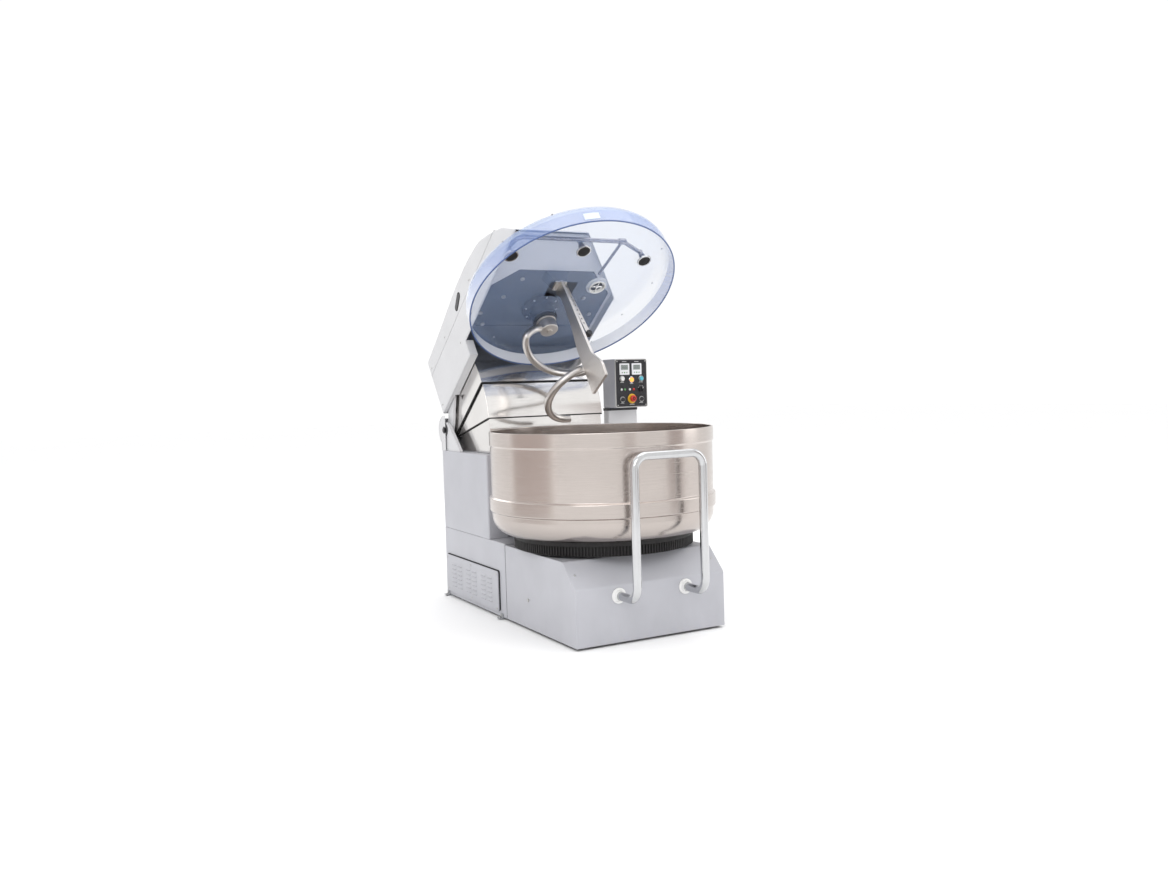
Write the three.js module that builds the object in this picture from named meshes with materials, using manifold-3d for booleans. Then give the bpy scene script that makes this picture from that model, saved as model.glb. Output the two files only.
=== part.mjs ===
// A spiral dough mixer with a removable bowl on a trolley, shown with its head raised.
// Millimetres, +Z up, front towards -Y. The bowl's axis is the middle of the design.
// The head is drawn lowered onto the bowl, then its group tips it open about the hinge.
import * as THREE from "three";
import { mergeVertices } from "three/addons/utils/BufferGeometryUtils.js";
import Module from "manifold-3d";

const wasm = await Module();
wasm.setup();

// ---- driving dimensions ----
const BOWL_R = 550;
const BOWL_RIM_Z = 965;
const BOWL_FLOOR_Z = 463;
const BAND_R = 556;
const RING_R = 442;
const BODY_W = 404; // half the width of the body, the trolley and the head
const SEAM_Y = 300; // where the trolley docks against the body
const BODY_REAR_Y = 1123;
const BLOCK_TOP_Z = 392;
const COLUMN_Y = 493;
const COLUMN_TOP_Z = 830;
const COLUMN_RECESS_R = 575;
const GROUND_GAP = 12;
const SHEET = 4;
const TROLLEY_FRONT_Y = -441;
const TROLLEY_TOP_Z = 386;
const TROLLEY_NOSE_Z = 272;
const TROLLEY_SLOPE_Y = -328;
const HINGE = { y: 1074, z: 946 };
const HEAD_OPEN = 36.6; // degrees between the lowered and the raised head
const VISOR_OPEN = 14.9;
const PIN_R = 25;
const PIN_HOLE_R = 26.3;
const SEAM_Z = 1298; // line between the head's side shell and its top cover
const FRAME_Z = 1218;
const LID_R = 547;
const LID_RIM_Z = 990;
const SPIRAL_Y = 318;
const SPIRAL_R = 148;
const BAR_R = 19;
const MOTOR = { x: -190, y: 800 };
const RAM_FOOT = { y: 820, z: 300 };
const RAM_HEAD = { y: 760, z: 1150 };
const PANEL = { x0: 418, x1: 628, y: 560, z0: 1044, z1: 1318 };
const PINION_R = 55;
const PINION_Y = RING_R + PINION_R + 1;
const GAP = 0.4;

// ---- helpers ----
const rad = THREE.MathUtils.degToRad;
const vec = (p) => new THREE.Vector3(...p);

function toSolid(geometry) {
  const bare = geometry.clone();
  bare.deleteAttribute("normal");
  bare.deleteAttribute("uv");
  const merged = mergeVertices(bare, 1e-3);
  const make = (triVerts) =>
    new wasm.Manifold(
      new wasm.Mesh({ numProp: 3, vertProperties: merged.attributes.position.array, triVerts }),
    );
  const tris = new Uint32Array(merged.index.array);
  const solid = make(tris);
  return solid.volume() > 0 ? solid : make(tris.reverse());
}

function toGeometry(solid) {
  const mesh = solid.getMesh();
  const geometry = new THREE.BufferGeometry();
  const positions = Float32Array.from(mesh.vertProperties);
  geometry.setAttribute("position", new THREE.BufferAttribute(positions, 3));
  geometry.setIndex(new THREE.BufferAttribute(Uint32Array.from(mesh.triVerts), 1));
  geometry.computeVertexNormals();
  return geometry;
}

const join = (...solids) => solids.reduce((a, b) => a.add(b));
const cut = (solid, ...tools) => tools.reduce((a, b) => a.subtract(b), solid);

function block(x0, x1, y0, y1, z0, z1) {
  const box = new THREE.BoxGeometry(x1 - x0, y1 - y0, z1 - z0);
  return toSolid(box.translate((x0 + x1) / 2, (y0 + y1) / 2, (z0 + z1) / 2));
}

function rod(radius, from, to, sides = 16) {
  const a = vec(from);
  const b = vec(to);
  const along = b.clone().sub(a);
  const bar = new THREE.CylinderGeometry(radius, radius, along.length(), sides);
  const turn = new THREE.Quaternion().setFromUnitVectors(
    new THREE.Vector3(0, 1, 0),
    along.clone().normalize(),
  );
  const middle = a.add(b).multiplyScalar(0.5);
  return toSolid(bar.applyQuaternion(turn).translate(middle.x, middle.y, middle.z));
}

// A closed outline from points [u, v] or [u, v, corner radius].
function outline(points) {
  const shape = new THREE.Shape();
  points.forEach(([u, v, radius = 0], i) => {
    const corner = new THREE.Vector2(u, v);
    const before = new THREE.Vector2(...points.at(i - 1).slice(0, 2)).sub(corner);
    const after = new THREE.Vector2(...points[(i + 1) % points.length].slice(0, 2)).sub(corner);
    const start = corner.clone().add(before.setLength(radius));
    const end = corner.clone().add(after.setLength(radius));
    if (i === 0) shape.moveTo(start.x, start.y);
    else shape.lineTo(start.x, start.y);
    if (radius) shape.quadraticCurveTo(u, v, end.x, end.y);
  });
  shape.closePath();
  return shape;
}

const AXES = {
  x: [new THREE.Vector3(0, 1, 0), new THREE.Vector3(0, 0, 1), new THREE.Vector3(1, 0, 0)],
  y: [new THREE.Vector3(1, 0, 0), new THREE.Vector3(0, 0, 1), new THREE.Vector3(0, -1, 0)],
  z: [new THREE.Vector3(1, 0, 0), new THREE.Vector3(0, 1, 0), new THREE.Vector3(0, 0, 1)],
};

// A prism along an axis between two levels; its outline is in the other two axes.
function prism(axis, shape, low, high, curveSegments = 3) {
  const path = Array.isArray(shape) ? outline(shape) : shape;
  const body = new THREE.ExtrudeGeometry(path, {
    depth: high - low,
    bevelEnabled: false,
    curveSegments,
  });
  body.applyMatrix4(new THREE.Matrix4().makeBasis(...AXES[axis]));
  const start = axis === "y" ? high : low;
  return toSolid(body.translate(...["x", "y", "z"].map((a) => (a === axis ? start : 0))));
}

// A body of revolution about the vertical line through (x, y), from points [radius, z].
function turned(points, x = 0, y = 0, sides = 36) {
  const lathe = new THREE.LatheGeometry(
    points.map(([r, z]) => new THREE.Vector2(r, z)),
    sides,
  );
  return toSolid(lathe.rotateX(Math.PI / 2).translate(x, y, 0));
}

// A flat ring about a vertical line.
function ring(outer, inner, z0, z1, x = 0, y = 0, sides = 36) {
  return turned([[inner, z0], [outer, z0], [outer, z1], [inner, z1], [inner, z0]], x, y, sides);
}

// A round bar along a smooth line through the points.
function bar(points, radius, steps, sides = 12) {
  const section = new THREE.Shape().absarc(0, 0, radius, 0, 2 * Math.PI);
  const path = new THREE.CatmullRomCurve3(points.map(vec), false, "centripetal");
  const extrude = { steps, bevelEnabled: false, curveSegments: sides / 2, extrudePath: path };
  return toSolid(new THREE.ExtrudeGeometry(section, extrude));
}

function material(color, roughness, metalness, opacity = 1) {
  const transparent = opacity < 1;
  return new THREE.MeshStandardMaterial({ color, roughness, metalness, opacity, transparent });
}

const FINISH = {
  paint: () => material(0xc6c7cd, 0.45, 0.1),
  darkSteel: () => material(0x5c6068, 0.5, 0.6),
  steel: () => material(0xd2cdca, 0.28, 1),
  mirror: () => material(0xe2e4e6, 0.12, 1),
  chrome: () => material(0xe4e6e8, 0.08, 1),
  cover: () => material(0xd9dadd, 0.4, 0.15),
  black: () => material(0x17181a, 0.6, 0),
  clear: () => material(0x9fb8dc, 0.08, 0, 0.35),
  white: () => material(0xeeeeea, 0.5, 0),
  red: () => material(0xc0241d, 0.4, 0),
  cyan: () => material(0x5cc8dc, 0.35, 0),
  amber: () => material(0xf09a3c, 0.3, 0),
  castIron: () => material(0x50555c, 0.6, 0.5),
};

// ---- assembly groups ----
const machine = new THREE.Group();
const whole = new THREE.Group();
whole.add(machine);

// A group whose children are drawn with it lowered, tipped open about the hinge.
function tippedGroup(degrees, y = HINGE.y, z = HINGE.z) {
  const turn = new THREE.Group();
  turn.position.set(0, y, z);
  turn.rotation.x = -rad(degrees);
  const inner = new THREE.Group();
  inner.position.set(0, -y, -z);
  turn.add(inner);
  machine.add(turn);
  return inner;
}

const head = tippedGroup(HEAD_OPEN);
const visorGroup = tippedGroup(VISOR_OPEN);

function add(group, name, solid, finish) {
  const mesh = new THREE.Mesh(toGeometry(solid), FINISH[finish]());
  mesh.name = name;
  group.add(mesh);
}

// Left is -X. Each pair of pieces is drawn on the right and mirrored by its sign.
const SIDES = [["left", -1], ["right", 1]];
const span = (sign, near, far) => (sign > 0 ? [near, far] : [-far, -near]);

// ---- body ----
const PLATE_X = [380, 398]; // the uprights that carry the hinge pins
const ARM_X = [362, 377];

function chassisFrame() {
  let frame = block(-385, 385, 330, 1100, 16, 28);
  const upright = [
    [870, 20],
    [1070, 20],
    [1070, 840, 10],
    [HINGE.y + 42, HINGE.z - 20, 25],
    [HINGE.y + 34, HINGE.z + 42, 30],
    [HINGE.y - 34, HINGE.z + 42, 30],
    [870, 835, 10],
  ];
  for (const [, sign] of SIDES) {
    const plate = prism("x", upright, ...span(sign, ...PLATE_X));
    const hole = rod(PIN_HOLE_R, [sign * 370, HINGE.y, HINGE.z], [sign * 410, HINGE.y, HINGE.z]);
    const lug = prism("x", [[770, 20], [870, 20], [850, 325, 20], [790, 325, 20]], ...span(sign, 32, 46));
    frame = join(frame, cut(plate, hole), lug);
  }
  const brace = cut(block(-398, 398, 1056, 1070, 20, 700), block(-300, 300, 1050, 1080, 90, 640));
  const pin = rod(14, [-40, RAM_FOOT.y, RAM_FOOT.z], [40, RAM_FOOT.y, RAM_FOOT.z]);
  return join(frame, brace, pin);
}

// The lower block is open below, and its top is open under the column.
function lowerBodyShell() {
  const plan = (inset, front, rear, corner) => [
    [-BODY_W + inset, front, corner],
    [BODY_W - inset, front, corner],
    [BODY_W - inset, rear, corner],
    [-BODY_W + inset, rear, corner],
  ];
  const outer = prism("z", plan(0, SEAM_Y, BODY_REAR_Y, 9), GROUND_GAP, BLOCK_TOP_Z);
  const inner = prism(
    "z",
    plan(SHEET, SEAM_Y + SHEET, BODY_REAR_Y - SHEET, 6),
    GROUND_GAP - 1,
    BLOCK_TOP_Z - SHEET,
  );
  const mouth = block(-350, 350, 620, 1050, 380, 400);
  const slots = SIDES.map(([, sign]) => block(...span(sign, 340, 399.5), 862, 1050, 380, 400));
  const rear = block(-399.5, 399.5, 1045, 1078, 380, 400);
  const shaft = rod(24, [0, PINION_Y, 380], [0, PINION_Y, 400]);
  const vents = SIDES.map(([, sign]) => block(...span(sign, 396, 410), 420, 1040, 75, 215));
  return cut(outer, inner, mouth, rear, shaft, ...slots, ...vents);
}

// The column's front is hollowed round the bowl.
function columnPlan(inset) {
  const shape = new THREE.Shape();
  const w = BODY_W - inset;
  const recess = COLUMN_RECESS_R + inset;
  const front = COLUMN_Y + inset;
  const half = Math.acos(front / recess);
  shape.moveTo(w, front);
  shape.lineTo(w, BODY_REAR_Y - inset);
  shape.lineTo(-w, BODY_REAR_Y - inset);
  shape.lineTo(-w, front);
  shape.lineTo(-recess * Math.sin(half), front);
  shape.absarc(0, 0, recess, Math.PI / 2 + half, Math.PI / 2 - half, true);
  shape.closePath();
  return shape;
}

function columnShell() {
  const outer = prism("z", columnPlan(0), BLOCK_TOP_Z + GAP, COLUMN_TOP_Z, 20);
  return cut(outer, prism("z", columnPlan(SHEET), BLOCK_TOP_Z, COLUMN_TOP_Z + 1, 20));
}

function columnTopPlate() {
  const plate = prism("z", columnPlan(SHEET + GAP), COLUMN_TOP_Z - 4.5, COLUMN_TOP_Z - 0.5, 20);
  const mouth = block(-330, 330, 640, 1048, 800, 840);
  const slots = SIDES.map(([, sign]) => block(...span(sign, 376, 410), 862, 1076, 800, 840));
  return cut(plate, mouth, ...slots);
}

function louvredVent(sign) {
  const x = [BODY_W + GAP, BODY_W + 4];
  let vent = prism("x", [[375, 35, 14], [1085, 35, 14], [1085, 242, 14], [375, 242, 14]], ...span(sign, ...x));
  for (let column = 0; column < 3; column++)
    for (let row = 0; row < 4; row++) {
      const y = 455 + column * 200;
      const z = 85 + row * 32;
      const corners = [[0, 0], [9, 0], [0, 20]].map(([u, v]) => [sign * (x[1] - 1 + u), z + v]);
      const scoop = prism("y", corners, y, y + 150);
      vent = join(vent, scoop);
      vent = cut(vent, block(...span(sign, BODY_W - 1, x[1] + 4), y + 6, y + 144, z + 2, z + 6));
    }
  return vent;
}

function levellingFoot(x, y) {
  return join(
    turned([[0, 0], [36, 0], [36, 6], [20, 12], [0, 12]], x, y, 14),
    rod(9, [x, y, 8], [x, y, 15.6], 8),
  );
}

// The hinge pins also carry the shroud and the visor.
function hingePin(sign) {
  return join(
    rod(PIN_R, [sign * 333, HINGE.y, HINGE.z], [sign * 399, HINGE.y, HINGE.z]),
    rod(34, [sign * 398.5, HINGE.y, HINGE.z], [sign * 404, HINGE.y, HINGE.z]),
  );
}

// A rolled sheet behind the hinge, with a cheek that closes each end.
function rearRoundCover() {
  const shape = new THREE.Shape();
  shape.absarc(HINGE.y, HINGE.z, 82, rad(-60), rad(52), false);
  shape.absarc(HINGE.y, HINGE.z, 78, rad(52), rad(-60), true);
  shape.closePath();
  const roll = prism("x", shape, -407, 407, 12);
  const foot = block(-407, 407, HINGE.y + 38, HINGE.y + 42, COLUMN_TOP_Z + GAP, HINGE.z - 69);
  const cheek = new THREE.Shape();
  cheek.moveTo(HINGE.y - 14, COLUMN_TOP_Z + GAP);
  cheek.lineTo(HINGE.y + 42, COLUMN_TOP_Z + GAP);
  cheek.absarc(HINGE.y, HINGE.z, 82, rad(-59), rad(100), false);
  cheek.closePath();
  const cheeks = SIDES.map(([, sign]) => prism("x", cheek, ...span(sign, 404.4, 407), 12));
  return join(roll, foot, ...cheeks);
}

// A drum about the hinge axis, cut to the part inside the side outline: the walls of a visor.
function drumShell(halfWidth, radius, side) {
  const wall = 3;
  const circle = (r, w) => rod(r, [-w, HINGE.y, HINGE.z], [w, HINGE.y, HINGE.z], 60);
  const drum = cut(circle(radius, halfWidth), circle(radius - wall, halfWidth - wall));
  return drum.intersect(prism("x", side, -halfWidth - 1, halfWidth + 1, 8));
}

const pinHoles = () => rod(PIN_HOLE_R, [-420, HINGE.y, HINGE.z], [420, HINGE.y, HINGE.z]);

function fixedShield() {
  return drumShell(338, 488, [
    [540, COLUMN_TOP_Z + GAP],
    [1060, COLUMN_TOP_Z + GAP],
    [1060, 898, 10],
    [540, 1048],
  ]);
}

const HUB_SIDE = [[1074, 900], [1119, 915, 30], [1119, 991, 30]];

function visor() {
  const side = [[530, 889], ...HUB_SIDE, [1030, 1000, 20], [530, 1120]];
  return cut(drumShell(345, 495, side), pinHoles());
}

function headShroud() {
  const side = [[530, 900], ...HUB_SIDE, [1040, 1000, 15], [1020, 1028], [1020, 1210], [530, 1210]];
  return cut(drumShell(352, 502, side), pinHoles());
}

// ---- lift cylinder, drawn upright over its foot ----
function openPoint({ y, z }, degrees = HEAD_OPEN) {
  const c = Math.cos(rad(degrees));
  const s = Math.sin(rad(degrees));
  const dy = y - HINGE.y;
  const dz = z - HINGE.z;
  return { y: HINGE.y + dy * c + dz * s, z: HINGE.z - dy * s + dz * c };
}
const ramTop = openPoint(RAM_HEAD);
const ramLength = Math.hypot(ramTop.y - RAM_FOOT.y, ramTop.z - RAM_FOOT.z);
const ramLean = Math.atan2(ramTop.y - RAM_FOOT.y, ramTop.z - RAM_FOOT.z) * THREE.MathUtils.RAD2DEG;
const ramGroup = tippedGroup(ramLean, RAM_FOOT.y, RAM_FOOT.z);
const RAM_BARREL = 700;

function ramBarrel() {
  const { y, z } = RAM_FOOT;
  const tube = rod(42, [0, y, z + 60], [0, y, z + RAM_BARREL], 20);
  const gland = rod(48, [0, y, z + RAM_BARREL - 40], [0, y, z + RAM_BARREL], 20);
  const base = rod(46, [0, y, z + 50], [0, y, z + 90], 20);
  const eye = rod(30, [-28, y, z], [28, y, z]);
  const neck = block(-28, 28, y - 24, y + 24, z + 10, z + 60);
  const bore = rod(24.5, [0, y, z + 100], [0, y, z + RAM_BARREL + 10]);
  return cut(join(tube, gland, base, eye, neck), bore, rod(14.5, [-60, y, z], [60, y, z], 24));
}

function ramRod() {
  const { y, z } = RAM_FOOT;
  const top = z + ramLength;
  const shaft = rod(24, [0, y, z + 300], [0, y, top - 30]);
  const eye = rod(42, [-26, y, top], [26, y, top], 20);
  return cut(join(shaft, eye), rod(28, [-60, y, top], [60, y, top]));
}

// ---- bowl drive ----
function bowlDriveMotor() {
  const y = PINION_Y;
  return join(
    rod(95, [0, y, 110], [0, y, 330], 20),
    rod(70, [0, y, 330], [0, y, 360], 20),
    block(60, 130, y - 45, y + 45, 180, 280),
    block(-120, 120, y - 120, y + 120, 96, 112),
    ...[-100, 100].flatMap((x) => [-100, 100].map((dy) => rod(14, [x, y + dy, 28.4], [x, y + dy, 100], 12))),
  );
}

function bowlDrivePinion() {
  return join(
    ring(PINION_R, 14, 404, 450, 0, PINION_Y, 40),
    rod(15, [0, PINION_Y, 360.4], [0, PINION_Y, 452]),
  );
}

// ---- control panel ----
function controlPost() {
  const { x0, x1, z0 } = PANEL;
  const post = cut(
    block(x0, x1 - 20, 640, 696, 520, z0 - GAP),
    block(x0 + 4, x1 - 24, 644, 700, 524, z0 - 6),
  );
  const flange = block(BODY_W + GAP, x0 + 6, 600, 740, 500, 780);
  return join(post, flange);
}

function controlBox() {
  const { x0, x1, y, z0, z1 } = PANEL;
  const side = [[y, z0, 8], [y + 136, z0, 8], [y + 136, z1, 8], [y, z1, 8]];
  const inside = block(x0 + SHEET, x1 - SHEET, y + SHEET, y + 132, z0 - 1, z1 - SHEET);
  return cut(prism("x", side, x0, x1), inside);
}

function controlFascia(cuts) {
  const { x0, x1, y, z0, z1 } = PANEL;
  const face = [[x0 + 5, z0 + 6, 8], [x1 - 5, z0 + 6, 8], [x1 - 5, z1 - 6, 8], [x0 + 5, z1 - 6, 8]];
  return cut(prism("y", face, y - 6, y - GAP), ...cuts);
}

const PANEL_X = (PANEL.x0 + PANEL.x1) / 2;
const FACE_Y = PANEL.y - 6;
const BUTTONS = {
  light_button: { x: PANEL_X - 62, z: 1206, finish: "white" },
  start_button: { x: PANEL_X + 62, z: 1206, finish: "cyan" },
  jog_button: { x: PANEL_X - 62, z: 1090, finish: "black" },
  stop_button: { x: PANEL_X + 62, z: 1090, finish: "black" },
};
const LAMP = { x: PANEL_X, z: 1200 };
const SELECTOR = { x: PANEL_X + 62, z: 1146 };
const STOP = { x: PANEL_X, z: 1094 };
const DISPLAYS = { display_left: PANEL_X - 45, display_right: PANEL_X + 35 };

const facing = (r, { x, z }, y0, y1, sides = 16) => rod(r, [x, y0, z], [x, y1, z], sides);

// A button's stem slides in a hole through the fascia.
function pushButton(place) {
  return join(
    facing(9, place, FACE_Y + 1, FACE_Y - 6),
    facing(12, place, FACE_Y - 5, FACE_Y - 12),
  );
}

function speedSelector() {
  return join(
    facing(14, SELECTOR, FACE_Y - GAP, FACE_Y - 14),
    block(SELECTOR.x - 3, SELECTOR.x + 3, FACE_Y - 22, FACE_Y - 13, SELECTOR.z - 13, SELECTOR.z + 13),
  );
}

function emergencyStop() {
  return join(
    facing(9, STOP, FACE_Y + 1, FACE_Y - 18),
    facing(19, STOP, FACE_Y - 14, FACE_Y - 26),
  );
}

// ---- head ----
const HEAD_PROFILE = [
  [1035, 1033],
  [1038, 1402, 22],
  [756, 1414, 90],
  [435, 1438, 90],
  [229, 1433, 70],
  [32, 1401, 60],
  [-117, 1316, 40],
  [-215, 1252, 30],
  [-326, 1130],
  [505, 1130],
  [505, 1033],
];
const FRAME_PLAN = [[-215, 45], [215, 45], [380, 212], [380, 1000], [-380, 1000], [-380, 212]];

const SHROUD_MOUTH = 356; // half the width of the opening round the shroud
const RIGHT_LOW_Z = 1180; // the right wall's lower edge, ahead of its cheek by the hinge
const RIGHT_CHEEK_Y = 600;

// The outline moved inwards by a wall thickness, for profiles drawn anticlockwise.
function inset(points, wall) {
  return points.map((point, i) => {
    const here = new THREE.Vector2(point[0], point[1]);
    const before = new THREE.Vector2(...points.at(i - 1).slice(0, 2));
    const after = new THREE.Vector2(...points[(i + 1) % points.length].slice(0, 2));
    const a = here.clone().sub(before).normalize();
    const b = after.clone().sub(here).normalize();
    const bisector = new THREE.Vector2(-a.y - b.y, a.x + b.x).normalize();
    const reach = wall / (-a.y * bisector.x + a.x * bisector.y);
    const moved = here.addScaledVector(bisector, reach);
    return [moved.x, moved.y, point[2] || 0];
  });
}

// What lies in front of the hood's slanted right front, moved back into the hood by a distance.
function frontCorner(back, low = 1000, high = 1600) {
  const start = new THREE.Vector2(0, -326);
  const along = new THREE.Vector2(BODY_W, 205).sub(start).normalize();
  const inward = new THREE.Vector2(-along.y, along.x).multiplyScalar(back);
  const near = start.clone().addScaledVector(along, -60).add(inward);
  const far = start.clone().addScaledVector(along, 730).add(inward);
  return prism("z", [near.toArray(), [far.x, near.y], far.toArray()], low, high);
}

function headHood() {
  const wall = SHEET;
  const outer = cut(prism("x", HEAD_PROFILE, -BODY_W, BODY_W), frontCorner(0));
  const inside = prism("x", inset(HEAD_PROFILE, wall), -BODY_W + wall, BODY_W - wall);
  const mouth = block(-BODY_W + wall, BODY_W - wall, -300, 504, 1100, 1140);
  const rearMouth = block(-SHROUD_MOUTH, SHROUD_MOUTH, 500, 1031, 1000, 1140);
  const armSlots = SIDES.map(([, sign]) => block(...span(sign, SHROUD_MOUTH - 1, 380), 860, 1031, 1000, 1060));
  const pipeway = frontCorner(wall + 1, 1000, RIGHT_LOW_Z);
  const rightWall = block(390, 410, 150, RIGHT_CHEEK_Y, 1000, RIGHT_LOW_Z);
  const rightFoot = block(350, 410, 500, RIGHT_CHEEK_Y, 1000, RIGHT_LOW_Z);
  const inner = cut(inside, frontCorner(wall));
  return cut(outer, inner, mouth, rearMouth, ...armSlots, pipeway, rightWall, rightFoot);
}

function headTopCover() {
  return cut(headHood(), block(-500, 500, -500, 1200, 900, SEAM_Z + GAP));
}

function headSideShell() {
  const walls = cut(headHood(), block(-500, 500, -500, 1200, SEAM_Z - GAP, 1600));
  const floor = block(-BODY_W + 2, BODY_W - 2, -235, 1032, FRAME_Z + 1, FRAME_Z + 5);
  const hole = prism("z", inset(FRAME_PLAN, -2), FRAME_Z - 10, FRAME_Z + 20);
  const cheekFront = block(SHROUD_MOUTH, BODY_W, RIGHT_CHEEK_Y, RIGHT_CHEEK_Y + SHEET, 1033, RIGHT_LOW_Z);
  return join(walls, cut(floor, hole, frontCorner(1)), cheekFront);
}

function headFrame() {
  const tray = cut(
    prism("z", FRAME_PLAN, FRAME_Z, FRAME_Z + 72),
    prism("z", inset(FRAME_PLAN, 10), FRAME_Z + 14, FRAME_Z + 80),
  );
  const armSide = [
    [690, FRAME_Z + 10],
    [850, 1080, 40],
    [1020, 925, 30],
    [1074, 904, 20],
    [1116, 915, 18],
    [1116, 985, 25],
    [1036, 1000, 15],
    [1018, 1028, 10],
    [1000, FRAME_Z + 10],
  ];
  const arms = SIDES.map(([, sign]) => prism("x", armSide, ...span(sign, ...ARM_X)));
  const lugs = SIDES.map(([, sign]) =>
    prism(
      "x",
      [[690, FRAME_Z + 4], [735, 1125, 18], [785, 1125, 18], [830, FRAME_Z + 4]],
      ...span(sign, 32, 46),
    ),
  );
  const pin = rod(14, [-40, RAM_HEAD.y, RAM_HEAD.z], [40, RAM_HEAD.y, RAM_HEAD.z]);
  const housing = rod(62, [0, SPIRAL_Y, 1110], [0, SPIRAL_Y, FRAME_Z + 4], 20);
  const bore = rod(39, [0, SPIRAL_Y, 1100], [0, SPIRAL_Y, FRAME_Z + 20], 20);
  const bracket = prism("y", [[-70, FRAME_Z + 4], [-34, 1150], [34, 1150], [70, FRAME_Z + 4]], 46, 110);
  const motorHole = rod(32, [MOTOR.x, MOTOR.y, FRAME_Z - 5], [MOTOR.x, MOTOR.y, FRAME_Z + 20]);
  return cut(join(tray, ...arms, ...lugs, pin, housing, bracket), bore, motorHole, pinHoles());
}

function spiralMotor() {
  const { x, y } = MOTOR;
  const top = FRAME_Z - GAP;
  let motor = join(
    rod(98, [x, y, 1010], [x, y, top - 12], 20),
    rod(120, [x, y, top - 14], [x, y, top], 20),
    rod(84, [x, y, 980], [x, y, 1012], 20),
    block(x - 135, x - 80, y - 45, y + 45, 1080, 1160),
  );
  for (let fin = 0; fin < 8; fin++) {
    const angle = (fin * Math.PI) / 4;
    const tip = [x + 106 * Math.cos(angle), y + 106 * Math.sin(angle)];
    motor = join(motor, rod(5, [...tip, 1030], [...tip, top - 6], 6), rod(12, [
      x + 96 * Math.cos(angle), y + 96 * Math.sin(angle), 1030,
    ], [x + 96 * Math.cos(angle), y + 96 * Math.sin(angle), top - 6], 6));
  }
  return motor;
}

const PULLEY_Z = [FRAME_Z + 24, FRAME_Z + 64];
const SPIRAL_PULLEY_R = 150;
const MOTOR_PULLEY_R = 45;

function pulley(radius, bore, x, y) {
  const [low, high] = PULLEY_Z;
  const rim = radius + 7;
  return turned(
    [[bore, low], [rim, low], [rim, low + 4], [radius, low + 7], [radius, high - 7], [rim, high - 4],
      [rim, high], [bore, high], [bore, low]],
    x, y, 28,
  );
}

function motorPulley() {
  const { x, y } = MOTOR;
  return join(
    pulley(MOTOR_PULLEY_R, 18, x, y),
    rod(19, [x, y, FRAME_Z + GAP], [x, y, PULLEY_Z[1] + 4]),
  );
}

// The band round both pulleys: two arcs joined by the pulleys' common tangents.
function beltLoop(slack) {
  const shape = new THREE.Shape();
  const dx = -MOTOR.x;
  const dy = SPIRAL_Y - MOTOR.y;
  const heading = Math.atan2(dy, dx);
  const open = Math.acos((SPIRAL_PULLEY_R - MOTOR_PULLEY_R) / Math.hypot(dx, dy));
  const big = SPIRAL_PULLEY_R + slack;
  const small = MOTOR_PULLEY_R + slack;
  const back = heading + Math.PI;
  shape.absarc(0, SPIRAL_Y, big, back + open, back - open + 2 * Math.PI, false);
  shape.absarc(MOTOR.x, MOTOR.y, small, back - open, back + open, false);
  shape.closePath();
  return shape;
}

function driveBelt() {
  const [low, high] = PULLEY_Z;
  return cut(
    prism("z", beltLoop(6), low + 9, high - 9, 10),
    prism("z", beltLoop(0.8), low, high, 10),
  );
}

function spiralShaft() {
  return join(
    rod(38, [0, SPIRAL_Y, 1100], [0, SPIRAL_Y, PULLEY_Z[1] + 6], 20),
    rod(54, [0, SPIRAL_Y, 1096], [0, SPIRAL_Y, 1108], 20),
  );
}

// The bar leaves the hub sideways and winds down clockwise to a flat cut end.
function spiralHook() {
  const hub = rod(50, [0, SPIRAL_Y, 1040], [0, SPIRAL_Y, 1095.6], 20);
  const top = 1002;
  const bottom = 565;
  const turns = 1.27;
  const place = (angle, radius, z) => [
    radius * Math.cos(angle),
    SPIRAL_Y + radius * Math.sin(angle),
    z,
  ];
  const path = [[-10, SPIRAL_Y, 1064], [-80, SPIRAL_Y, 1052]];
  const steps = 26;
  for (let i = 0; i <= steps; i++) {
    const t = i / steps;
    const angle = Math.PI - 2 * Math.PI * turns * t;
    path.push(place(angle, SPIRAL_R, top + (bottom - top) * Math.sin((t * Math.PI) / 2) ** 1.15));
  }
  return join(hub, bar(path, BAR_R, 56, 12));
}

function breakerBlade() {
  const side = [
    [40, 1149.6],
    [118, 1149.6],
    [118, 1110],
    [96, 1080, 20],
    [104, 900, 40],
    [134, 760, 40],
    [142, 600, 30],
    [148, 488, 8],
    [-16, 484, 10],
    [-24, 560, 20],
    [26, 650, 30],
    [30, 800, 30],
    [34, 1080, 20],
    [40, 1110],
  ];
  const blade = prism("x", side, -8, 8);
  const flange = block(-34, 34, 46, 110, 1140, 1149.6);
  return join(blade, flange);
}

// A perforated arm with a round feeler, hung beside the blade.
function doughProbe() {
  const top = { x: 56, z: FRAME_Z - GAP };
  const tip = { x: 86, z: 850 };
  const [near, far] = [110.6, 115.6];
  const outline = [[top.x - 12, top.z], [tip.x - 12, tip.z], [tip.x + 12, tip.z], [top.x + 12, top.z]];
  const feeler = rod(17, [tip.x, 99, tip.z], [tip.x, 127, tip.z]);
  const holes = [];
  for (let i = 1; i < 8; i++) {
    const share = 0.25 + i * 0.08;
    const [x, z] = [top.x + (tip.x - top.x) * share, top.z + (tip.z - top.z) * share];
    holes.push(rod(5, [x, near - 1, z], [x, far + 1, z], 10));
  }
  return join(cut(prism("y", outline, near, far), ...holes), feeler);
}

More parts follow.
